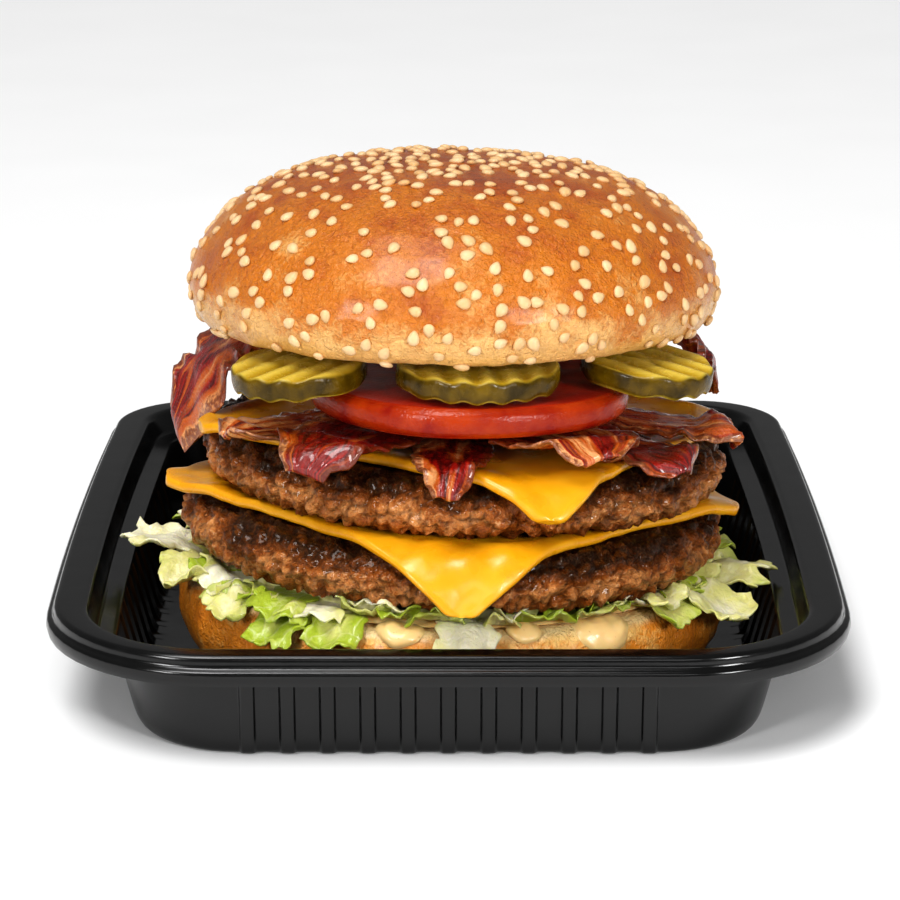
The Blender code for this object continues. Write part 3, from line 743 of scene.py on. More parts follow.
@dataclass(frozen=True)
class IcebergLeaf:
    """Iceberg lettuce, shredded: thin, crisp and translucent, from a white rib to a bright green edge.

    The mesh's value green is 0 at the rib and 1 at the leaf's outer edge.
    """

    rib: str = "#EAE6C6"
    pale: str = "#D8D488"
    bright: str = "#A3B436"
    cloud_mm: float = 6.0
    vein_mm: float = 6.0
    winding_mm: float = 4.0
    winding_depth_mm: float = 3.0
    crinkle_mm: float = 1.3

    def make(self) -> bpy.types.Material:
        """Make the material.

        Returns:
            The material.
        """
        soft = (0.3, (0.8, 1.0, 0.3), 1.5)
        bench = Bench("iceberg lettuce, shredded", 1.4, soft, Coat_Weight=0.35, Coat_Roughness=0.15)
        inputs = {"Vector": bench.place, "Scale": per(self.winding_mm), "Detail": 1.0}
        bent = bench.add("TexNoise", inputs, "Color")
        inputs = {0: bent, 1: (self.winding_depth_mm * MM,) * 3, 2: bench.place}
        winding = bench.add("VectorMath", inputs, operation="MULTIPLY_ADD")
        inputs = {"Vector": winding, "Scale": per(self.vein_mm)}
        vein = bench.add("TexVoronoi", inputs, "Distance", feature="DISTANCE_TO_EDGE")
        crinkle = bench.noise(self.crinkle_mm, 3, Distortion=0.6)
        level = bench.sway(bench.noise(self.cloud_mm, 3), 0.9, bench.value("green"), 0.5)
        colour = bench.bands(level, self.rib, (0.1, 0.45, self.pale), (0.5, 0.95, self.bright))
        colour = bench.mix(bench.span(vein, 0.0, 0.05, 0.22, 0.0), colour, self.rib)
        veins = bench.bump(bench.span(vein, 0.0, 0.12, 1.0, 0.0), 0.35, 0.25)
        relief = bench.bump(crinkle, 0.7, 0.5, veins)
        rough = bench.span(crinkle, 0.3, 0.7, 0.28, 0.45)
        return bench.finish(Base_Color=colour, Roughness=rough, Normal=relief)


@dataclass(frozen=True)
class BurgerSauce:
    """Burger sauce, an emulsion: glossy peach cream with faint specks of relish."""

    cream: str = "#F2CB8B"
    speck: str = "#C9793A"
    speck_mm: float = 1.1
    swell_mm: float = 3.0

    def make(self) -> bpy.types.Material:
        """Make the material.

        Returns:
            The material.
        """
        gloss = {"Roughness": 0.32, "Coat_Weight": 0.2, "Coat_Roughness": 0.1}
        bench = Bench("burger sauce, emulsified", 1.44, (0.3, (1.0, 0.6, 0.3), 1.5), **gloss)
        fleck = bench.span(bench.noise(self.speck_mm), 0.66, 0.74, 0.0, 0.6)
        relief = bench.bump(bench.noise(self.swell_mm, 1), 0.3, 0.4)
        return bench.finish(Base_Color=bench.mix(fleck, self.cream, self.speck), Normal=relief)


@dataclass(frozen=True)
class PaintedBoard:
    """Matt white painted board under the tray, with the faintest mottle."""

    white: str = "#F7F7F7"
    shade: str = "#F3F3F3"
    mottle_mm: float = 60.0

    def make(self) -> bpy.types.Material:
        """Make the material."""
        bench = Bench("painted board, matt white", 1.45, Roughness=0.8, Specular_IOR_Level=0.2)
        return bench.finish(Base_Color=bench.mix(bench.noise(self.mottle_mm, 1), self.white, self.shade))


# Tray


@dataclass
class Tray:
    """The open tray: a bent sheet with a skirt, a flange, a ledge, ribbed walls and a floor.

    Each section gives the half lengths along x and y, the corner radius and the height of the upper surface,
    from the lip of the skirt inwards. All lengths here are millimetres.
    """

    sheet: float = 0.7
    side_bow: float = 2.3
    radius_spread: float = 0.3
    sections: tuple[tuple[float, ...], ...] = (
        (85.9, 96.1, 28.8, 19.3), (86.3, 96.5, 29.2, 20.4), (86.2, 96.4, 29.0, 22.4),
        (84.8, 95.0, 27.8, 22.9), (84.6, 94.8, 27.6, 24.9), (83.8, 94.0, 27.0, 25.5),
        (77.8, 90.0, 21.5, 25.5), (76.8, 89.2, 20.6, 24.9), (75.2, 88.2, 19.6, 20.0),
        (71.2, 87.4, 18.4, 19.2), (70.8, 87.2, 18.2, 18.4), (66.9, 85.8, 16.6, 3.2),
        (65.8, 85.4, 15.9, 1.1), (63.8, 84.0, 14.7, 0.7), (61.0, 81.2, 12.5, 0.7),
    )
    fillet: float = 0.8
    wall_drop: float = 7.6
    wall_steps: int = 10
    rib_pitch: float = 8.5
    rib_width: float = 4.1
    rib_depth: float = 0.95
    rib_shares: tuple[float, ...] = (
        -0.03, 0.0, 0.06, 0.12, 0.18, 0.25, 0.28, 0.72, 0.75, 0.82, 0.88, 0.94, 1.0, 1.03,
    )
    front_ribs: int = 11
    side_ribs: int = 13
    corner_steps: int = 12

    def rounded_sections(self) -> list[tuple[float, ...]]:
        """Round every fold of the sheet.

        Returns:
            Sections as above, with each inner one replaced by a short curve.
        """
        path = [self.sections[0]]
        for before, fold, after in zip(self.sections, self.sections[1:], self.sections[2:]):
            ends = []
            for other in (before, after):
                length = math.hypot(other[1] - fold[1], other[3] - fold[3], other[0] - fold[0])
                ends.append(blend(fold, other, min(self.fillet, 0.42 * length) / length))
            for t in (0.0, 0.35, 0.65, 1.0):
                path.append(blend(blend(ends[0], fold, t), blend(fold, ends[1], t), t))
        return [*path, self.sections[-1]]

    def upper_sections(self) -> list[tuple[float, ...]]:
        """Cut the long wall into short steps, so that its ribs can fade at both ends.

        Returns:
            All the sections of the upper surface.
        """
        rounded = self.rounded_sections()
        path = []
        for section, after in zip(rounded, rounded[1:]):
            steps = self.wall_steps if section[3] - after[3] > self.wall_drop else 1
            path += [blend(section, after, step / steps) for step in range(steps)]
        return [*path, self.sections[-1]]

    def lower_sections(self) -> list[tuple[float, ...]]:
        """Find the sheet's lower surface.

        Returns:
            A section of it under each of the upper surface's.
        """
        upper = self.upper_sections()
        path = []
        for before, section, after in zip([upper[0], *upper], upper, [*upper[1:], upper[-1]]):
            run = (after[0] + after[1] - before[0] - before[1]) / 2
            climb = after[3] - before[3]
            length = math.hypot(run, climb)
            inset, rise = self.sheet * climb / length, self.sheet * run / length
            path.append((section[0] - inset, section[1] - inset, section[2] - inset, section[3] + rise))
        return path

    def stops(self, ribs: int) -> list[tuple[float, float]]:
        """Find where a side needs points.

        Args:
            ribs: How many ribs the side has.

        Returns:
            Places from the side's middle in millimetres, and the share of a rib's depth at each.
        """
        middles = [(rib - (ribs - 1) / 2) * self.rib_pitch for rib in range(ribs)]
        pairs = [(middle, share) for middle in middles for share in self.rib_shares]
        return [(middle + (s - 0.5) * self.rib_width, ease(0, 0.25, min(s, 1 - s))) for middle, s in pairs]

    def outline(self, section: Sequence[float]) -> list[Vector]:
        """Go once round a section of the tray.

        Args:
            section: The section as above.

        Returns:
            Its points, anticlockwise from the front's left end.
        """
        half_x, half_y, radius, height = section
        depth = self.rib_depth * ease(18.6, 17.6, height) * ease(0.0, 0.35, height)
        front, side = self.stops(self.front_ribs), self.stops(self.side_ribs)

        def bulge(y: float) -> float:
            """How far the long side bows out at y."""
            return self.side_bow * (1 - min(1.0, (y / half_y) ** 2))

        points: list[tuple[float, float]] = []
        for quarter, (sign_x, sign_y) in enumerate(((1, -1), (1, 1), (-1, 1), (-1, -1))):
            if quarter % 2 == 0:
                points += [(-sign_y * x, sign_y * (half_y + depth * push)) for x, push in front]
            else:
                points += [(sign_x * (half_x + bulge(y) + depth * push), sign_x * y) for y, push in side]
            own = radius * (1 - sign_y * self.radius_spread)
            for i in range(self.corner_steps + 1):
                angle = math.pi / 2 * (quarter - 1 + i / self.corner_steps)
                y = sign_y * (half_y - own) + own * math.sin(angle)
                points.append((sign_x * (half_x - own + bulge(y)) + own * math.cos(angle), y))
        return [Vector((x, y, height)) * MM for x, y in points]

    def build(self, finish: bpy.types.Material) -> None:
        """Build and dress the tray.

        Args:
            finish: Its material.
        """
        draft = Draft()
        sheets = []
        for sections in (self.upper_sections(), self.lower_sections()):
            rings = [[draft.add(point) for point in self.outline(section)] for section in sections]
            draft.fan(rings[-1], draft.add(Vector((0, 0, sections[-1][3] * MM))))
            sheets.append(rings)
        draft.skin(sheets[0][::-1] + sheets[1], closed=True)
        hand_over(draft.make("tray_shell", finish, 75), Slot.PLASTIC, "tray")


# Bun


@dataclass
class Heel:
    """The lower half of the bun, whose slanting cut face shows a pale crumb edge.

    The profile is radius and height above the base in millimetres, and the cut rows are the same.
    """

    profile: tuple[tuple[float, float], ...] = (
        (50.0, 0.0), (56.5, 1.8), (60.4, 5.8), (62.0, 11.0), (61.4, 16.0), (59.6, 19.4), (57.2, 20.5),
    )
    cut: tuple[tuple[float, float], ...] = ((56.0, 20.5), (54.5, 20.5), (52.0, 20.5), (48.0, 20.5))
    top: float = 20.5
    rise_x: float = -0.03
    rise_y: float = -0.04
    steps: int = 260
    smooth_steps: int = 7
    wrinkle: float = 0.6

    def top_at(self, x: float, y: float) -> float:
        """Height of the cut face above the base, in metres."""
        return self.top * MM + self.rise_x * x + self.rise_y * y

    def spot(self, row: tuple[float, float], angle: float) -> Spot:
        """Find a point of the heel.

        Args:
            row: Its radius and height on a level, round heel, in millimetres.
            angle: Its angle.

        Returns:
            The point, how brown its crust is, and how much crumb shows.
        """
        radius, height = row
        side, low = polar(angle, 62 * MM, height * MM), polar(angle, 62 * MM, height * MM / 7)
        grow = self.wrinkle * ripple(low, 1.8, 3.0) + 0.5 * ripple(side, 17, 8.0)
        reach = (radius + grow * ease(2, 8, height) * ease(48, 58, radius)) * MM * bun_wobble(angle)
        point = polar(angle, reach)
        point.z = height / self.top * self.top_at(point.x, point.y)
        level = polar(angle, radius * MM, height * MM)
        torn = 0.9 * ripple(level, 6, 5.0) + 0.5 * ripple(level, 2.2, 1.0)
        crumb = ease(18.2, 20.2, height + 0.9 * torn) * (1 - 0.3 * ease(-0.2, 0.6, torn))
        return point, {"bake": 0.46 - 0.2 * ease(14, 20, height) + 0.12 * ease(8, 0, height), "crumb": crumb}

    def build(self, finish: bpy.types.Material) -> None:
        """Build and dress the heel.

        Args:
            finish: Its material.
        """
        draft = Draft(HEEL_FRAME)
        rows = [*smooth_path(self.profile, self.smooth_steps), *self.cut]
        middle = {"bake": 0.6, "crumb": 1.0}
        ends = ((Vector(), middle), (Vector((0, 0, self.top * MM)), middle))
        draft.lathe(rows, self.steps, self.spot, ends)
        hand_over(draft.make("bun_heel", finish), Slot.CRUST, "heel")


@dataclass
class Crown:
    """The upper half of the bun, a glossy dome with a tucked lower edge and sesame seeds on it.

    A share says how far down the crust a point lies: 0 at the top, 1 at the lower edge.
    """

    radius: float = 59.6 * MM
    widest: float = 8.9 * MM
    height: float = 35.2 * MM
    tuck: float = 4.8 * MM
    widest_share: float = 0.82
    shoulder: float = 0.58
    top: float = 1.29
    steps: int = 240
    rows: int = 96
    base_insets: tuple[float, ...] = (0.985, 0.95, 0.85)
    creases: int = 26
    crease_depth: float = 0.55 * MM
    seeds: int = 860
    edge_seeds: int = 40
    seed_half: tuple[float, float, float] = (1.62 * MM, 1.22 * MM, 0.7 * MM)
    seed_room: float = 2.9 * MM
    seed_rise: float = 0.22 * MM
    folds: list[tuple[float, float, float, float]] = field(default_factory=list)

    def __post_init__(self) -> None:
        """Draw the creases of the lower crust: angle, share of their middle, length and depth."""
        draw = random.Random(12)
        limits = ((0, TURN), (0.74, 0.95), (0.03, 0.09), (0.3, 1.0))
        self.folds = [tuple(draw.uniform(*pair) for pair in limits) for _ in range(self.creases)]

    def profile(self, share: float) -> tuple[float, float]:
        """Follow the dome's side view.

        Args:
            share: How far down the crust.

        Returns:
            Radius and height there.
        """
        if share < self.widest_share:
            angle = math.pi / 2 * (max(0.0, share) / self.widest_share) ** (1 / self.shoulder)
            rise = (self.height - self.widest) * math.cos(angle) ** self.top
            return self.radius * math.sin(angle) ** self.shoulder, self.widest + rise
        angle = math.pi / 2 * (share - self.widest_share) / (1 - self.widest_share)
        return self.radius - self.tuck * (1 - math.cos(angle)), self.widest * (1 - math.sin(angle))

    def plain_point(self, share: float, angle: float) -> Vector:
        """A point of the smooth crust."""
        radius, height = self.profile(share)
        return polar(angle, radius * bun_wobble(angle + 1.9), height)

    def normal(self, share: float, angle: float, step: float = 0.004) -> Vector:
        """Find the way out of the crust at a point.

        Args:
            share: How far down the crust.
            angle: The angle.
            step: How far beside it the points lie that tell its slope.

        Returns:
            The way out, 1 long.
        """
        along = self.plain_point(share + step, angle) - self.plain_point(share - step, angle)
        round_ = self.plain_point(share, angle + step) - self.plain_point(share, angle - step)
        return along.cross(round_).normalized()

    def relief(self, share: float, angle: float, point: Vector) -> float:
        """Find how far wrinkles, blisters and creases lift the crust.

        Args:
            share: How far down the crust.
            angle: The angle.
            point: The smooth crust's point there.

        Returns:
            The lift in metres.
        """
        fine = (0.10 + 0.12 * ease(0.45, 0.85, share)) * noise.fractal(point * per(3.0), 0.9, 2.1, 3)
        lift = (0.45 * ripple(point, 13, 2.0) + 0.2 * ripple(point, 4.5, 6.0) + fine) * MM
        for middle, place, length, depth in self.folds:
            across = (angle - middle + math.pi) % TURN - math.pi
            if abs(across) > 0.12 or abs(share - place) > 2.5 * length:
                continue
            bend = across + 0.03 * ripple(point, 8, middle)
            near = math.exp(-((bend * 60 / 0.9) ** 2) - ((share - place) / length) ** 2)
            lift -= self.crease_depth * depth * near
        return lift

    def crust_point(self, share: float, angle: float) -> Vector:
        """Find a point of the wrinkled crust.

        Args:
            share: How far down the crust.
            angle: The angle.

        Returns:
            The point.
        """
        point = self.plain_point(share, angle)
        if share < 0.01:
            return point
        return point + self.normal(share, angle) * self.relief(share, angle, point)

    def values(self, share: float, point: Vector) -> Values:
        """Say how brown the crust is.

        Args:
            share: How far down the crust.
            point: The point there.

        Returns:
            The values that the crust's finish reads.
        """
        cloud = ripple(point, 22, 4.0)
        shoulder, foot = ease(0.2, 0.62, share + 0.06 * cloud), ease(0.74, 0.95, share + 0.03 * cloud)
        return {"bake": 0.86 - 0.36 * shoulder - 0.5 * foot, "crumb": 0.0}

    def spot(self, row: tuple[float, float], angle: float) -> Spot:
        """Find a point of the crown.

        Args:
            row: Its share, and how far the ring is drawn in under the crown: 1 on the crust itself.
            angle: Its angle.

        Returns:
            The point with its values.
        """
        share, inset = row
        if inset < 1:
            return self.plain_point(share, angle) * inset, {"bake": 0.3, "crumb": 0.8}
        point = self.crust_point(share, angle)
        return point, self.values(share, point)

    def build_crust(self, finish: bpy.types.Material) -> None:
        """Build and dress the crust.

        Args:
            finish: Its material.
        """
        draft = Draft(CROWN_FRAME)
        rows = [(row / self.rows, 1.0) for row in range(1, self.rows + 1)]
        rows += [(1.0, inset) for inset in self.base_insets]
        top = (self.plain_point(0.0, 0.0), self.values(0.0, Vector()))
        ends = (top, (Vector(), {"bake": 0.3, "crumb": 0.8}))
        draft.lathe(rows, self.steps, self.spot, ends)
        hand_over(draft.make("bun_crown", finish), Slot.CRUST, "crown")

    def seed_places(self) -> Iterator[tuple[float, float]]:
        """Scatter the seeds: dense on top, sparse lower down, with a row at the edge.

        Yields:
            The share and angle of each seed that has room.
        """
        draw = random.Random(7)
        wanted = []
        for i in range(self.seeds):
            share = 0.93 * ((i + 0.5) / self.seeds) ** 0.9 + draw.uniform(-0.03, 0.03)
            wanted.append((share, i * GOLDEN_ANGLE + draw.uniform(-0.25, 0.25)))
        for i in range(self.edge_seeds):
            wanted.append((draw.uniform(0.93, 0.985), TURN * i / self.edge_seeds + draw.uniform(-0.09, 0.09)))
        taken: list[Vector] = []
        for share, angle in wanted:
            point = self.plain_point(share, angle)
            if all((point - other).length > self.seed_room for other in taken):
                taken.append(point)
                yield share, angle

    def build_seeds(self, finish: bpy.types.Material) -> None:
        """Build and dress the sesame seeds: flat drops with one pointed end.

        Args:
            finish: Their material.
        """
        ball = bmesh.new()
        bmesh.ops.create_icosphere(ball, subdivisions=2, radius=1)
        corners = [vert.co.copy() for vert in ball.verts]
        facets = [[vert.index for vert in face.verts] for face in ball.faces]
        ball.free()
        draw = random.Random(8)
        draft = Draft(CROWN_FRAME)
        for share, angle in self.seed_places():
            normal = self.normal(share, angle)
            across = normal.orthogonal().normalized()
            across.rotate(Quaternion(normal, draw.uniform(0, TURN)))
            tilt = Quaternion(across, draw.uniform(-0.25, 0.25))
            size, toast = draw.uniform(0.85, 1.12), draw.uniform(0.0, 0.55)
            long, wide, thick = (size * half for half in self.seed_half)
            middle = self.crust_point(share, angle) + normal * self.seed_rise
            first = len(draft.points)
            for x, y, z in corners:
                local = normal.cross(across) * x * long + across * y * (1 - 0.32 * x - 0.1 * x * x) * wide
                local += normal * z * (1 - 0.15 * x) * thick
                local.rotate(tilt)
                draft.add(middle + local, {"toast": toast + 0.35 * ease(0.3, 1.0, x)})
            draft.faces += [tuple(first + i for i in facet) for facet in facets]
        hand_over(draft.make("sesame_seeds", finish), Slot.CRUST)


# Patties


@dataclass
class Patty:
    """A hand-pressed patty of coarse mince with a craggy, seared side.

    The profile and the rows under and over it are shares of the radius and of the half thickness.
    """

    node: str
    radius: float
    half: float
    seed: float
    shift: float
    middle: float
    steps: int = 520
    crag: float = 1.0 * MM
    lump_mm: float = 3.1
    lump: float = 1.8 * MM
    under: tuple[tuple[float, float], ...] = ((0.62, -1.0), (0.7, -1.0), (0.76, -1.0), (0.8, -1.0))
    profile: tuple[tuple[float, float], ...] = (
        (0.84, -1.0), (0.935, -0.86), (0.985, -0.48), (1.0, -0.05), (0.985, 0.40), (0.945, 0.78),
        (0.88, 0.96),
    )
    over: tuple[tuple[float, float], ...] = (
        (0.86, 0.975), (0.84, 0.98), (0.82, 0.98), (0.8, 0.98), (0.78, 0.98), (0.75, 0.98), (0.7, 0.98),
        (0.62, 0.98),
    )

    def plain_point(self, angle: float, share: float, level: float) -> Vector:
        """Find a point of the patty before the mince's own relief.

        Args:
            angle: Its angle.
            share: Its share of the radius.
            level: Its share of the half thickness.

        Returns:
            The point.
        """
        out = polar(angle, 1)
        wander = noise.noise(Vector((1.6 * out.x, 1.6 * out.y, self.seed)))
        crag = noise.noise(out * 7.0 + Vector((0, 0, level * 1.3 + self.seed)))
        side = math.sqrt(max(0.0, 1 - abs(level)))
        reach = self.radius * share * (1 + 0.022 * wander) + self.crag * crag * side
        return polar(angle, reach, self.half * level * (1 - 0.06 * abs(crag)))

    def mince(self, point: Vector) -> tuple[float, float]:
        """Find the relief of the mince's strands and lumps.

        Args:
            point: Where to read it.

        Returns:
            A lift from about -0.8 to 0.6, and how deep between strands the point lies, from 0 to 1.
        """
        warp = Vector([ripple(point, 5, self.seed + other) for other in (0, 9, 5)])
        near, next_ = noise.voronoi(point * per(self.lump_mm) + 0.8 * warp, distance_metric="DISTANCE")[0][:2]
        strands = noise.fractal(point * per(1.7), 0.8, 2.2, 3)
        pit = ease(0.22, 0.03, next_ - near) * ease(-0.2, 0.5, strands + 0.3)
        return 0.5 - min(1.0, (near / 0.75) ** 2) + 0.45 * strands, pit

    def char(self, point: Vector, level: float, side: Side) -> float:
        """Find how charred a point is.

        Args:
            point: The point.
            level: Its share of the half thickness.
            side: The face that it belongs to.

        Returns:
            The charring, about 0 to 1.
        """
        patchy = ripple(point, 10, self.seed + 3)
        rim = ease(-0.2, 0.75, level + 0.7 * patchy)
        foot = 0.45 * ease(-0.55, -0.95, level + 0.3 * patchy)
        char = 1.0 if side is Side.OVER else max(rim, foot)
        return 0.9 * char + 0.18 * ease(0.1, 0.5, ripple(point, 17, 2.0))

    def spot(self, row: tuple[float, float, float, float], angle: float) -> Spot:
        """Find a point of the patty.

        Args:
            row: Its shares of radius and half thickness, and the surface's way out and up there.
            angle: Its angle.

        Returns:
            The point, how charred it is, and how deep it lies between strands.
        """
        share, level, out, up = row
        side = Side.RIM if abs(level) < 0.96 else (Side.OVER if level > 0 else Side.UNDER)
        point = self.plain_point(angle, share, level)
        lift, pit = self.mince(point)
        lift *= self.lump * (1.0 if side is Side.RIM else 0.3)
        # How much shade is painted deep between the strands there.
        values = {"char": self.char(point, level, side), "pit": 0.75 * pit}
        return point + polar(angle, out, up) * lift, values

    def build(self, finish: bpy.types.Material) -> None:
        """Build and dress the patty.

        Args:
            finish: Its material.
        """
        draft = Draft(STACK_FRAME @ Matrix.Translation((self.shift, 0, self.middle)))
        path = [*self.under, *smooth_path(self.profile, 5), *self.over]
        rows = []
        for before, row, after in zip([path[0], *path], path, [*path[1:], path[-1]]):
            run, climb = (after[0] - before[0]) * self.radius, (after[1] - before[1]) * self.half
            length = math.hypot(run, climb)
            rows.append((*row, climb / length, -run / length))
        middle = {"char": 1.0, "pit": 0.0}
        ends = [(Vector((0, 0, self.half * level)), middle) for level in (-1, 0.98)]
        draft.lathe(rows, self.steps, self.spot, ends)
        hand_over(draft.make(f"{self.node}_mince", finish, 80), Slot.BEEF, self.node)


# Cheese


@dataclass
class CheeseSlice:
    """A square slice of cheese that has melted over the patty's edge.

    droops are the angles in degrees by which its front, right, back and left corners may bend down.
    """

    node: str
    half_diagonal: float
    turn: float
    x: float
    y: float
    droops: tuple[float, float, float, float]
    base: float
    seed: float
    thickness: float = 1.8 * MM
    corner: float = 0.11
    bend_start: float = 56.5 * MM
    bend: float = 8.5 * MM
    points: int = 72

    def droop(self, angle: float) -> float:
        """Find how far the slice may bend down at an angle.

        Args:
            angle: The angle round the burger's axis.

        Returns:
            The bend in radians.
        """
        total = 0.0
        for corner, limit in enumerate(self.droops):
            away = angle - math.radians(self.turn - 90 + 90 * corner)
            total += math.radians(limit) * max(0.0, math.cos(2 * away)) * (math.cos(away) > 0)
        return total

    def blunt(self, value: float, other: float) -> float:
        """Pull a corner's u or v in, with the other of the two, so that it becomes a quarter round."""
        past, beside = (max(0.0, abs(w) - 1 + self.corner) / self.corner for w in (value, other))
        return value - math.copysign(self.corner * past * (1 - math.sqrt(max(0.0, 1 - beside**2 / 2))), value)

    def place(self, u: float, v: float, lift: float) -> Vector:
        """Find a point of the slice.

        Args:
            u: Its place across, from -1 to 1.
            v: Its place along, from -1 to 1.
            lift: Its height above the underside.

        Returns:
            The point.
        """
        u, v = self.blunt(u, v), self.blunt(v, u)
        half_side = self.half_diagonal / math.sqrt(2)
        half_side *= 1 + 0.012 * ripple(Vector((u, v, self.seed)) * half_side, 16, self.seed)
        spot = turned(half_side * u, half_side * v, 0, self.turn + 45) + Vector((self.x, self.y, 0))
        radius, angle = math.hypot(spot.x, spot.y), math.atan2(spot.y, spot.x)
        loose = ease(48 * MM, 62 * MM, radius)
        rim = 0.5 * MM * ease(0.84, 0.97, max(abs(u), abs(v)))
        lift += rim * (1 if lift > self.thickness / 2 else -0.3 * loose)
        lift += loose * (1.3 * ripple(spot, 11, self.seed) + 0.5 * ripple(spot, 5, self.seed + 2)) * MM
        out, height = bent_over(radius, self.bend_start, self.bend, self.droop(angle), lift)
        return polar(angle, out, self.base + height)

    def build(self, finish: bpy.types.Material) -> None:
        """Build and dress the slice.

        Args:
            finish: Its material.
        """
        draft = Draft(STACK_FRAME)
        halves = (self.half_diagonal / math.sqrt(2),) * 2
        draft.slab(self.place, (spread(self.points),) * 2, halves, self.thickness, lambda u, v: {})
        hand_over(draft.make(f"{self.node}_slice", finish, 80), Slot.CHEESE, self.node)


# Bacon


def thin_edge(lift: float, thickness: float, across: float) -> float:
    """Thin a strip towards its long sides; across is -1 to 1."""
    return thickness / 2 + (lift - thickness / 2) * (1 - 0.5 * ease(0.5, 1.0, abs(across)))


def narrowing(share: float, start: float, strength: float) -> float:
    """Share of its width that a strip keeps towards its tip."""
    return math.sqrt(1 - strength * max(0.0, (min(1.0, share) - start) / (1 - start)) ** 2)


def crinkle(spot: Vector, across: float, seed: float) -> float:
    """Pucker fried bacon, most along its sides.

    Args:
        spot: The place on the flat strip.
        across: The share across it, from -1 to 1.
        seed: Picks the puckers.

    Returns:
        How far the strip is pushed up there, in metres.
    """
    edge = ease(0.45, 1.0, abs(across))
    frill = math.sin(TURN * spot.x / (5.2 * MM) + 2.5 * ripple(spot, 9, seed) + 3 * math.copysign(1, across))
    return (0.9 * ripple(spot, 6, seed) + 0.6 * ripple(spot, 2.2, seed) + 0.8 * edge * frill) * MM


def streaks(along: float, across: float, v: float, fatty: float) -> Values:
    """What the bacon's finish reads at a point of a strip."""
    return {"along": along, "across": across, "edge": ease(0.7, 1.0, abs(v)), "fatty": fatty}


@dataclass
class Rasher:
    """A strip of bacon that lies across the cheese, wavy where it leaves the pile.

    start and end are millimetres along its line, width is too, and the droops are degrees.
    """

    node: str
    angle: float
    start: float
    end: float
    width: float
    level: int
    start_droop: float
    end_droop: float
    thickness: float = 2.0 * MM
    bend_start: float = 57.2 * MM
    bend: float = 9.5 * MM
    wave: float = 1.1 * MM
    fatty: float = 0.0
    wave_start: float = 54.0 * MM
    wave_length: float = 13.0 * MM
    columns: int = 27

    def place(self, u: float, v: float, lift: float) -> Vector:
        """Find a point of the strip.

        Args:
            u: Its place along, from -1 to 1.
            v: Its place across, from -1 to 1.
            lift: Its height above the underside.

        Returns:
            The point.
        """
        along = (self.start + (self.end - self.start) * (u + 1) / 2) * MM
        pile = self.level * (self.thickness + GAP)
        droop = math.radians(self.end_droop if along > 0 else self.start_droop)
        loose = min(1.0, max(0.0, abs(along) - self.wave_start) / (6 * MM))
        lift = thin_edge(lift, self.thickness, v)
        lift += self.wave * loose * (1 + math.sin(TURN * along / self.wave_length + 2.2 * v + self.angle))
        lift += (0.3 + 0.7 * loose) * crinkle(Vector((along, v * 8 * MM, self.angle * MM)), v, self.angle)
        out, height = bent_over(abs(along), self.bend_start, self.bend + pile, droop, lift)
        rim = Vector((along, math.copysign(9, v) * MM, 0))
        ragged = 1 + 0.22 * ripple(rim, 6, self.angle) + 0.09 * ripple(rim, 2, self.angle)
        side = v * self.width * MM / 2 * ragged * narrowing((u + 1) / 2, 0.78, 0.9)
        return turned(math.copysign(out, along), side, BACON_BASE + pile + height, self.angle)

    def values(self, u: float, v: float) -> Values:
        """Where a point lies on the strip, in millimetres, and how near its long sides."""
        along = self.start + (self.end - self.start) * (u + 1) / 2 + 7.3 * self.angle
        return streaks(along, v * self.width / 2 + self.angle, v, self.fatty)

    def build(self, finish: bpy.types.Material) -> None:
        """Build and dress the strip.

        Args:
            finish: Its material.
        """
        draft = Draft(STACK_FRAME)
        half = (self.end - self.start) / 2
        stops = (spread(max(40, round(half * 2.2))), spread(self.columns))
        draft.slab(self.place, stops, (half * MM, self.width * MM / 2), self.thickness, self.values)
        hand_over(draft.make(f"{self.node}_rasher", finish, 80), Slot.BACON, self.node)


@dataclass
class HangingRasher:
    """A strip of bacon that lies over the tomato's edge and slopes down outside it. Sizes in millimetres."""

    node: str
    angle: float
    start: float
    end: float
    width: float
    top: float
    drop: float
    thickness: float = 3.2
    power: float = 2.2
    roll: float = 0.0
    twist: float = 0.0
    fatty: float = 0.0

    def place(self, u: float, v: float, lift: float) -> Vector:
        """Find a point of the strip.

        Args:
            u: Its place along, from -1 to 1.
            v: Its place across, from -1 to 1.
            lift: Its height above the underside, in metres.

        Returns:
            The point.
        """
        share = max(0.0, (u + 1) / 2)
        spot = Vector((share * 30, v * 8, self.angle)) * MM
        lift = thin_edge(lift / MM, self.thickness, v) + crinkle(spot, v, self.angle) / MM
        wave = 0.9 * math.sin(TURN * 1.6 * share + 2.0 * v) * min(1.0, 3 * share)
        height = BACON_BASE / MM + self.top - self.drop * share**self.power
        height += wave + lift + self.roll * v * share
        ragged = 1 + 0.18 * ripple(Vector((share * 30, math.copysign(9, v), 0)) * MM, 5, self.angle)
        side = v / 2 * ragged * narrowing(share, 0.75, 0.85)
        reach = self.start + (self.end - self.start) * share + 0.5 * lift - self.twist * share * 2 * side
        return turned(reach, side * self.width, height, self.angle) * MM

    def values(self, u: float, v: float) -> Values:
        """Where a point lies on the strip, in millimetres, and how near its long sides."""
        return streaks(14 * u + 5 * self.angle, v * self.width / 2, v, self.fatty)

    def build(self, finish: bpy.types.Material) -> None:
        """Build and dress the strip.

        Args:
            finish: Its material.
        """
        draft = Draft(STACK_FRAME)
        halves = ((self.end - self.start) * MM / 2, self.width * MM / 2)
        draft.slab(self.place, (spread(30), spread(20)), halves, self.thickness * MM, self.values)
        hand_over(draft.make(f"{self.node}_rasher", finish, 80), Slot.BACON, self.node)


# Salad under the crown


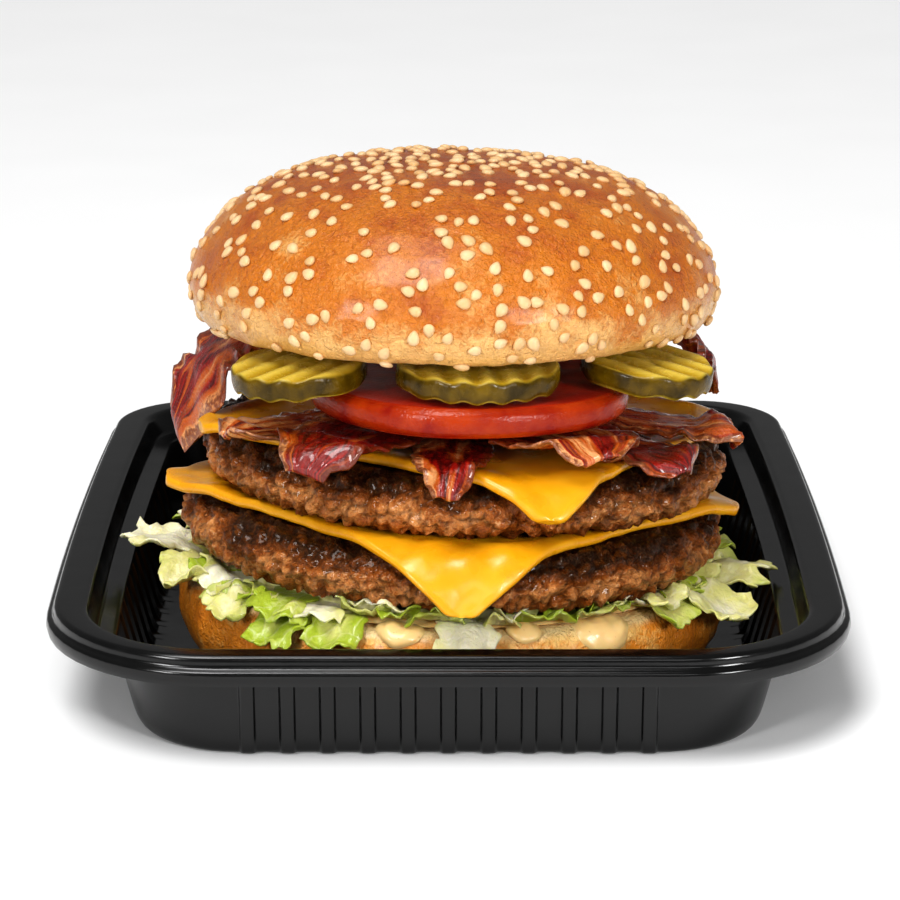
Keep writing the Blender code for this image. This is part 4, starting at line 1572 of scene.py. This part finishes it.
@dataclass
class TomatoSlice:
    """A slice of tomato with a rounded, shiny skin edge. Sizes in millimetres, in the crown's frame.

    The profile is how far a point lies outside the radius, and its share of the thickness.
    """

    node: str
    x: float
    y: float
    radius: float
    thickness: float
    top: float = -8.6
    steps: int = 120
    profile: tuple[tuple[float, float], ...] = ((-1.6, 0.0), (-0.1, 0.25), (-0.1, 0.75), (-1.6, 1.0))
    inner: tuple[float, ...] = (-12.0, -8.0, -5.0, -3.2, -2.2)

    def spot(self, row: tuple[float, float], angle: float) -> Spot:
        """Find a point of the slice.

        Args:
            row: How far outside the radius it lies, and its share of the thickness.
            angle: Its angle.

        Returns:
            The point, and how much flesh shows.
        """
        inset, level = row
        reach = (self.radius + inset) * (1 + 0.012 * math.sin(5 * angle + self.x))
        spot = Vector((self.x, self.y, 0)) + polar(angle, reach)
        sag = 0.25 * ripple(spot * MM, 9, 1.0) * ease(-1.5, -6, inset)
        spot.z = self.top + (level - 1) * self.thickness + sag
        return spot * MM, {"flesh": ease(-1.2, -2.0, inset)}

    def build(self, finish: bpy.types.Material) -> None:
        """Build and dress the slice.

        Args:
            finish: Its material.
        """
        draft = Draft(CROWN_FRAME)
        rows = [(inset, 0.0) for inset in self.inner] + smooth_path(self.profile, 5)
        rows += [(inset, 1.0) for inset in reversed(self.inner)]
        ends = [self.spot((-self.radius, level), 0.0) for level in (0.0, 1.0)]
        draft.lathe(rows, self.steps, self.spot, ends)
        hand_over(draft.make(f"{self.node}_slice", finish), Slot.TOMATO, self.node)


@dataclass
class PickleChip:
    """A crinkle-cut gherkin chip whose ridges run towards the burger's rim. Sizes in millimetres.

    across and out are its half lengths, and hang is how many degrees its outer end hangs down.
    """

    node: str
    x: float
    y: float
    across: float
    out: float
    hang: float
    thickness: float = 4.6
    fillet: float = 0.5
    ridge: float = 0.34
    pitch: float = 5.4
    steps: int = 132
    face: tuple[float, ...] = (0.3, 0.5, 0.66, 0.78, 0.87, 0.93)

    def frame(self) -> Matrix:
        """Find the chip's own frame.

        Returns:
            The frame, with the ridges along x.
        """
        drop = self.out * math.sin(math.radians(self.hang))
        spot = Vector((self.x, self.y, -GAP / MM - 0.55 - drop)) * MM
        turn = Euler((0, math.radians(self.hang), math.atan2(self.y, self.x))).to_matrix().to_4x4()
        return CROWN_FRAME @ Matrix.Translation(spot) @ turn

    def spot(self, row: tuple[float, float, float], angle: float) -> Spot:
        """Find a point of the chip.

        Args:
            row: Its share of the half lengths, its height below the face, and how much skin shows.
            angle: Its angle.

        Returns:
            The point, how much skin shows, and how high on the crinkle it lies.
        """
        share, level, skin = row
        y = self.across * share * math.sin(angle)
        crest = math.cos(TURN * y / self.pitch + self.x)
        point = Vector((self.out * share * math.cos(angle), y, level + self.ridge * crest)) * MM
        return point, {"skin": skin, "ridge": 0.5 + 0.5 * crest}

    def build(self, finish: bpy.types.Material) -> None:
        """Build and dress the chip.

        Args:
            finish: Its material.
        """
        draft = Draft(self.frame())
        deep = -self.thickness
        rows = [(share, deep, 0.0) for share in self.face]
        rows += [(0.965, deep, 0.2), (0.992, 0.6 + deep, 1.0)]
        rows += [(1.0, share * deep, 1.0) for share in (0.72, 0.5, 0.28)]
        rows += [(0.992, -self.fillet, 1.0), (0.965, 0.0, 0.2)]
        rows += [(share, 0.0, 0.0) for share in self.face[::-1]]
        draft.lathe(rows, self.steps, self.spot, [self.spot((0.0, level, 0.0), 0.0) for level in (deep, 0.0)])
        hand_over(draft.make(f"{self.node}_chip", finish), Slot.PICKLE, self.node)


# Sauce and lettuce


@dataclass
class Sauce:
    """The sauce on the heel: a thin round, with drops that run over the heel's edge. Sizes in millimetres.

    Each drop is the side it runs to in degrees, its width and its length. The path is the radius and height
    that a drop follows down the heel's side.
    """

    heel: Heel
    radius: float = 55.6
    path: tuple[tuple[float, float], ...] = (
        (53.5, 20.5), (57.2, 20.5), (59.6, 19.4), (61.4, 16.0), (62.0, 11.0),
    )
    clearance: float = 0.5
    bulge: float = 1.5
    drops: tuple[tuple[float, float, float], ...] = (
        (-101, 12, 9.0), (-74, 9, 7.5), (-56, 15, 13.0), (58, 13, 8.0), (112, 11, 7.5),
    )
    rows: int = 22
    columns: int = 21

    def on_path(self, distance: float, clearance: float) -> tuple[float, float]:
        """Go down the heel's side.

        Args:
            distance: How far to go.
            clearance: How far off the side to stay.

        Returns:
            Radius and height there.
        """
        for (r0, z0), (r1, z1) in zip(self.path, self.path[1:]):
            length = math.hypot(r1 - r0, z1 - z0)
            share = distance / length
            if share <= 1:
                break
            distance -= length
        radius = r0 + (r1 - r0) * share + (z0 - z1) / length * clearance
        return radius, z0 + (z1 - z0) * share + (r1 - r0) / length * clearance

    def point(self, angle: float, radius: float, height: float) -> Vector:
        """A point of the sauce, for a radius and height on a level, round heel."""
        flat = polar(angle, radius * MM * bun_wobble(angle), height * MM)
        return flat + Vector((0, 0, self.heel.rise_x * flat.x + self.heel.rise_y * flat.y))

    def drop_point(self, drop: tuple[float, float, float], share: float, v: float, thick: float) -> Vector:
        """Find a point of a drop.

        Args:
            drop: The drop as above.
            share: How far down the drop, from 0 to 1.
            v: How far across it, from -1 to 1.
            thick: 0 on its inner side and 1 on its outer side.

        Returns:
            The point.
        """
        side, width, length = drop
        angle = math.radians(side) + v * width / 2 / 60 * (1 - 0.12 * math.sin(math.pi * share))
        lobe = math.sqrt(max(0.0, 1 - v * v))
        uneven = ripple(Vector((v * width / 2, 0, side)) * MM, 4.5, 3.0)
        distance = length * share * (0.3 + 0.7 * lobe) * (1 + 0.22 * uneven)
        full = math.sqrt(max(0.0, 1 - ((share - 0.5) / 0.5) ** 2)) if share > 0.5 else ease(-0.4, 0.5, share)
        skin = self.bulge * full * lobe**0.7 * (0.5 + 0.5 * share)
        skin += 0.8 * ripple(Vector((share * length, v * width / 2, side)) * MM, 4, 3.0) * full * lobe
        return self.point(angle, *self.on_path(distance, self.clearance * lobe + skin * thick))

    def build(self, finish: bpy.types.Material) -> None:
        """Build and dress the sauce.

        Args:
            finish: Its material.
        """
        draft = Draft(HEEL_FRAME)
        low = self.heel.top + GAP / MM
        high = low + SAUCE_THICKNESS / MM
        rows = ((self.radius, low), (self.radius + 0.5, low + GAP / MM), (self.radius, high))
        ends = [(Vector((0, 0, height * MM)), {}) for height in (low, high)]
        draft.lathe(rows, DISC_STEPS, lambda row, angle: (self.point(angle, *row), {}), ends)
        stops = ([i / (self.rows - 1) for i in range(self.rows)], spread(self.columns))
        for drop in self.drops:
            place = partial(self.drop_point, drop)
            draft.slab(place, stops, (1, 1), 1.0, lambda u, v: {}, edge_steps=0)
        hand_over(draft.make("sauce_drops", finish, 80), Slot.SAUCE, "sauce")


@dataclass
class Lettuce:
    """Shredded lettuce between sauce and patty: a core, and shreds that stick out of it.

    Each leaf is the side it points to in degrees, its width, how far it reaches from the burger's axis and
    how far it falls, in millimetres, and how green it is from 0 to 1.
    """

    heel: Heel
    drops: Sequence[tuple[float, float, float]]
    core_radius: float = 53.0 * MM
    core_green: float = 0.3
    start: float = 47.0
    fall_start: float = 56.5
    thickness: float = 0.7 * MM
    leaves: tuple[tuple[float, ...], ...] = (
        (-176, 17, 73.5, -1.0, -0.1), (-159, 18, 69.0, 2.5, 0.15), (-141, 14, 66.5, 4.5, 0.3),
        (-127, 13, 67.5, 7.0, 0.75), (-114, 12, 66.0, 5.5, 0.6), (-87, 13, 66.5, 6.0, -0.1),
        (-38, 13, 66.0, 3.5, 0.5), (-27, 15, 72.0, 5.0, 0.1), (-11, 15, 73.0, 0.5, 0.2),
        (14, 16, 67.0, 3.0, 0.5), (38, 18, 66.0, 4.5, 0.2), (83, 18, 66.0, 4.0, 0.6),
        (136, 18, 66.5, 3.0, 0.3), (158, 15, 68.0, 2.0, 0.7),
    )
    small_shreds: int = 60
    leaf_points: tuple[int, int] = (26, 19)
    shred_points: tuple[int, int] = (18, 13)

    def over_sauce(self, x: float, y: float) -> float:
        """Height of the sauce's top above the heel's base."""
        return self.heel.top_at(x, y) + GAP + SAUCE_THICKNESS

    def under_patty(self, x: float, y: float) -> float:
        """Height of the lower patty's underside above the heel's base."""
        return STACK_MIDDLE - HEEL_BASE - LOWER_PATTY_HALF + STACK_RISE_X * x + STACK_RISE_Y * y

    def leaf_place(self, leaf: tuple[float, ...], lifted: float, seed: float) -> Place:
        """Give the function that places a leaf's points.

        Args:
            leaf: The leaf as above.
            lifted: How much higher than the others it lies, in metres.
            seed: Picks its folds.

        Returns:
            A function of u from the core to the tip, v across, and a height above the underside.
        """
        side, width, reach, fall = leaf[:4]

        def place(u: float, v: float, lift: float) -> Vector:
            """Find a point of the leaf.

            Args:
                u: Its place along, from -1 to 1.
                v: Its place across, from -1 to 1.
                lift: Its height above the underside.

            Returns:
                The point.
            """
            jag = 1 + 0.16 * ripple(Vector((v, 0, 0)) * 9 * MM, 3.0, seed) - 0.08 * v * v
            out_mm = self.start + (reach - self.start) * (u + 1) / 2 * jag
            out = max(0.0, (out_mm - self.fall_start) / (reach - self.fall_start))
            ragged = 1 + 0.34 * ripple(Vector((u * 11, math.copysign(9, v), 0)) * MM, 4, seed)
            across = v * width / 2 * (0.85 + 0.25 * min(1.0, out)) * ragged
            flat = Vector((out_mm, across, 0)) * MM
            edge = max(ease(0.6, 1.0, abs(v)), ease(0.7, 1.0, u))
            folds = 1.1 * math.sin(3.1 * v + side) + 1.6 * ripple(flat, 6.0, seed)
            folds += 1.3 * v * v * math.sin(seed) + (0.7 + 1.1 * edge) * ripple(flat, 2.6, seed)
            height = min(1.0, 2 * out) * folds + min(1.0, 3 * out)
            height -= fall * out * out * (3 - 2 * min(1.2, out))
            point = turned(flat.x, flat.y, lifted + height * MM + lift + GAP, side)
            return point + Vector((0, 0, self.over_sauce(point.x, point.y)))

        return place

    def small_leaves(self) -> Iterator[tuple[tuple[float, ...], float]]:
        """Draw short shreds all round; near the sauce's drops they are shorter and don't fall.

        Yields:
            A leaf as above, and how much higher than the others it lies.
        """
        draw = random.Random(31)
        for i in range(self.small_shreds):
            side = -180 + 360 * (i + draw.uniform(0, 1)) / self.small_shreds
            width, reach = draw.uniform(8, 14), draw.uniform(60.0, 65.0)
            fall, green = draw.uniform(-1.0, 2.6), draw.uniform(-0.1, 0.9)
            lifted = draw.uniform(0.0, 1.6) * MM
            if any(abs(side - drop[0]) < 7 + drop[1] / 2 for drop in self.drops):
                reach, fall = 59.5, -1.0
            yield (side, width, reach, fall, green), lifted

    def build(self, finish: bpy.types.Material) -> None:
        """Build and dress the lettuce.

        Args:
            finish: Its material.
        """
        draft = Draft(HEEL_FRAME)
        green = {"green": self.core_green}
        faces = ((self.over_sauce, GAP), (self.under_patty, -GAP))

        def core(face: tuple[Callable[[float, float], float], float], angle: float) -> Spot:
            """A point at the core's rim, on a face given by its height and a gap."""
            flat = polar(angle, self.core_radius)
            return Vector((flat.x, flat.y, face[0](flat.x, flat.y) + face[1])), green

        ends = [(Vector((0, 0, height_at(0, 0) + gap)), green) for height_at, gap in faces]
        draft.lathe(faces, DISC_STEPS, core, ends)
        shreds = [(leaf, 0.0, self.leaf_points) for leaf in self.leaves]
        shreds += [(leaf, lifted, self.shred_points) for leaf, lifted in self.small_leaves()]
        for number, (leaf, lifted, (rows, columns)) in enumerate(shreds):
            draft.slab(
                self.leaf_place(leaf, lifted, 1.0 + number),
                (spread(rows), spread(columns)),
                ((leaf[2] - self.start) * MM / 2, leaf[1] * MM / 2),
                self.thickness,
                lambda u, v, own=leaf[4]: {"green": own + 0.25 * abs(v) + 0.15 * u},
            )
        hand_over(draft.make("lettuce_shreds", finish, 70), Slot.LETTUCE, "lettuce")


# Studio


@dataclass
class Studio:
    """The white floor, the soft lights and the camera at the photo's viewing angle.

    Each softbox is its name, its place, its width and height, and its power.
    """

    camera_place: tuple[float, float, float] = (0.0, -0.71514, 0.26298)
    camera_down: float = 17.247
    lens: float = 128.0
    photo_side: float = 900.0
    shift_pixels: float = 1.5
    floor_half: float = 3.0
    sun_angle: float = 25
    sun_place: tuple[float, float, float] = (-0.25, -0.38, 1.0)
    sun_power: float = 1.7
    sky_power: float = 0.22
    aim: tuple[float, float, float] = (0, -0.02, 0.06)
    softboxes: tuple[tuple[str, tuple[float, float, float], tuple[float, float], float], ...] = (
        ("softbox overhead", (-0.12, -0.06, 0.95), (0.45, 0.35), 1.6),
        ("softbox right", (0.6, -0.8, 0.36), (0.18, 0.25), 4.2),
        ("softbox left", (-0.6, -0.8, 0.4), (0.18, 0.25), 3.4),
        ("softbox front", (0.12, -1.0, 0.5), (0.4, 0.2), 0.7),
    )

    def build_floor(self, finish: bpy.types.Material) -> None:
        """Lay the floor.

        Args:
            finish: Its material.
        """
        draft = Draft()
        half = self.floor_half
        draft.skin([[draft.add(Vector((half * u, half * v, 0))) for u in (-1, 1)] for v in (-1, 1)])
        draft.make("studio_floor", finish)

    def hang(self, lamp: bpy.types.Light, place: tuple[float, float, float], power: float) -> None:
        """Hang a lamp so that it looks at the burger.

        Args:
            lamp: The lamp.
            place: Where it hangs.
            power: How strong it is.
        """
        lamp.energy = power
        holder = bpy.data.objects.new(lamp.name, lamp)
        holder.location = place
        holder.rotation_euler = (Vector(self.aim) - Vector(place)).to_track_quat("-Z", "Y").to_euler()
        bpy.context.scene.collection.objects.link(holder)

    def build_lights(self) -> None:
        """Hang a broad ceiling light and the softboxes: overhead, at both sides of the camera and over it."""
        ceiling = bpy.data.lights.new("ceiling", "SUN")
        ceiling.angle = math.radians(self.sun_angle)
        self.hang(ceiling, self.sun_place, self.sun_power)
        for name, place, size, watts in self.softboxes:
            softbox = bpy.data.lights.new(name, "AREA")
            softbox.shape = "RECTANGLE"
            softbox.size, softbox.size_y = size
            self.hang(softbox, place, watts)

    def build(self, finish: bpy.types.Material) -> None:
        """Set up floor, lights, world and camera.

        Args:
            finish: The floor's material.
        """
        self.build_floor(finish)
        self.build_lights()
        world = bpy.data.worlds.new("white studio")
        world.use_nodes = True
        backdrop = world.node_tree.nodes["Background"]
        backdrop.inputs["Color"].default_value = linear("#FFFFFF")
        backdrop.inputs["Strength"].default_value = self.sky_power
        scene = bpy.context.scene
        scene.world = world
        scene.view_settings.view_transform = "Standard"
        scene.view_settings.look = "Medium High Contrast"
        camera = bpy.data.objects.new("camera", bpy.data.cameras.new("camera"))
        camera.location = self.camera_place
        camera.rotation_euler = (math.radians(90 - self.camera_down), 0, 0)
        camera.data.lens = self.lens
        camera.data.sensor_width = 36
        camera.data.shift_x = self.shift_pixels / self.photo_side
        camera.data.clip_start = 0.01
        scene.collection.objects.link(camera)
        scene.camera = camera


# Assembly


def build_meat() -> None:
    """Build patties, cheese and bacon."""
    beef, cheddar, rasher = SearedMince().make(), MeltedCheddar().make(), FriedRasher().make()
    Patty("patty_lower", 61.3 * MM, LOWER_PATTY_HALF, 3.1, 0.0, 0.0).build(beef)
    Patty("patty_upper", 58.6 * MM, 6.25 * MM, 8.4, 1.8 * MM, 15.4 * MM).build(beef)
    for slice_ in (
        CheeseSlice("cheese_lower", 67 * MM, 2, 0, -8.5 * MM, (76, 22, 62, 0), 7.05 * MM, 4.0),
        CheeseSlice("cheese_upper", 65 * MM, 15, 4 * MM, -4.5 * MM, (56, 45, 55, 8), 21.95 * MM, 7.0),
    ):
        slice_.build(cheddar)
    for strip in (
        Rasher("bacon_front", -92, -66, 66, 16, 0, 40, 55, fatty=0.02),
        Rasher("bacon_front_left", -118, -18, 67.5, 25, 1, 0, 50, fatty=-0.06),
        Rasher("bacon_front_right", -63, 5, 64, 30, 2, 0, 30, fatty=0.02),
        Rasher("bacon_left_front", -143, 30, 61, 18, 0, 0, 20, fatty=0.12),
        Rasher("bacon_right_front", -42, 30, 64, 21, 0, 0, 45, fatty=-0.04),
        Rasher("bacon_right", -22, 27, 65, 18, 1, 0, 60, wave=1.7 * MM, fatty=-0.06),
        Rasher("bacon_right_back", 32, 24, 65, 21, 1, 0, 35),
        Rasher("bacon_left_back", 150, 18, 66, 22, 1, 0, 35),
        HangingRasher("bacon_left_top", 184, 41, 61.0, 22, 16.6, 20.5, roll=-3.5, twist=4.0, fatty=-0.03),
        HangingRasher("bacon_right_top", 7, 45, 57.5, 17, 19.0, 11.0),
    ):
        strip.build(rasher)


def build_salad(heel: Heel) -> None:
    """Build sauce, lettuce, tomato and pickles.

    Args:
        heel: The heel that they lie on.
    """
    sauce = Sauce(heel)
    sauce.build(BurgerSauce().make())
    Lettuce(heel, sauce.drops).build(IcebergLeaf().make())
    tomato, gherkin = RipeTomato().make(), PickledGherkin().make()
    for slice_ in (
        TomatoSlice("tomato_front", 4.5, -25.5, 34.5, 6.4),
        TomatoSlice("tomato_left_back", -27.0, 23.5, 22.8, 5.6),
        TomatoSlice("tomato_right_back", 29.5, 26.0, 21.5, 7.5),
    ):
        slice_.build(tomato)
    for chip in (
        PickleChip("pickle_left", -32.5, -39.5, 14.5, 14.5, 7.0),
        PickleChip("pickle_front", 5.8, -44.0, 17.5, 15.5, 4.0),
        PickleChip("pickle_right", 42.5, -32.0, 14.0, 14.5, 8.0),
        PickleChip("pickle_right_back", 34.0, 34.0, 14.0, 14.0, 4.0),
        PickleChip("pickle_back", 1.0, 46.0, 15.5, 14.0, 4.0),
        PickleChip("pickle_left_back", -38.0, 29.0, 14.5, 14.0, 4.0),
    ):
        chip.build(gherkin)


def main() -> None:
    """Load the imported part, build every piece round it and light it."""
    logging.basicConfig(level=logging.INFO, format="%(name)s: %(message)s")
    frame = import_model()
    LOG.info("dressing %d packed nodes", len(frame["nodes"]))
    Tray().build(BlackPolypropylene().make())
    heel = Heel()
    tones = {"pale": "#F7C878", "golden": "#EA922C", "brown": "#D27820"}
    heel.build(BakedCrust("milk bread crust, baked in a pan", **tones).make())
    build_meat()
    build_salad(heel)
    crown = Crown()
    crown.build_crust(BakedCrust("milk bread crust, egg washed").make())
    crown.build_seeds(HulledSesame().make())
    Studio().build(PaintedBoard().make())


if __name__ == "__main__":
    main()
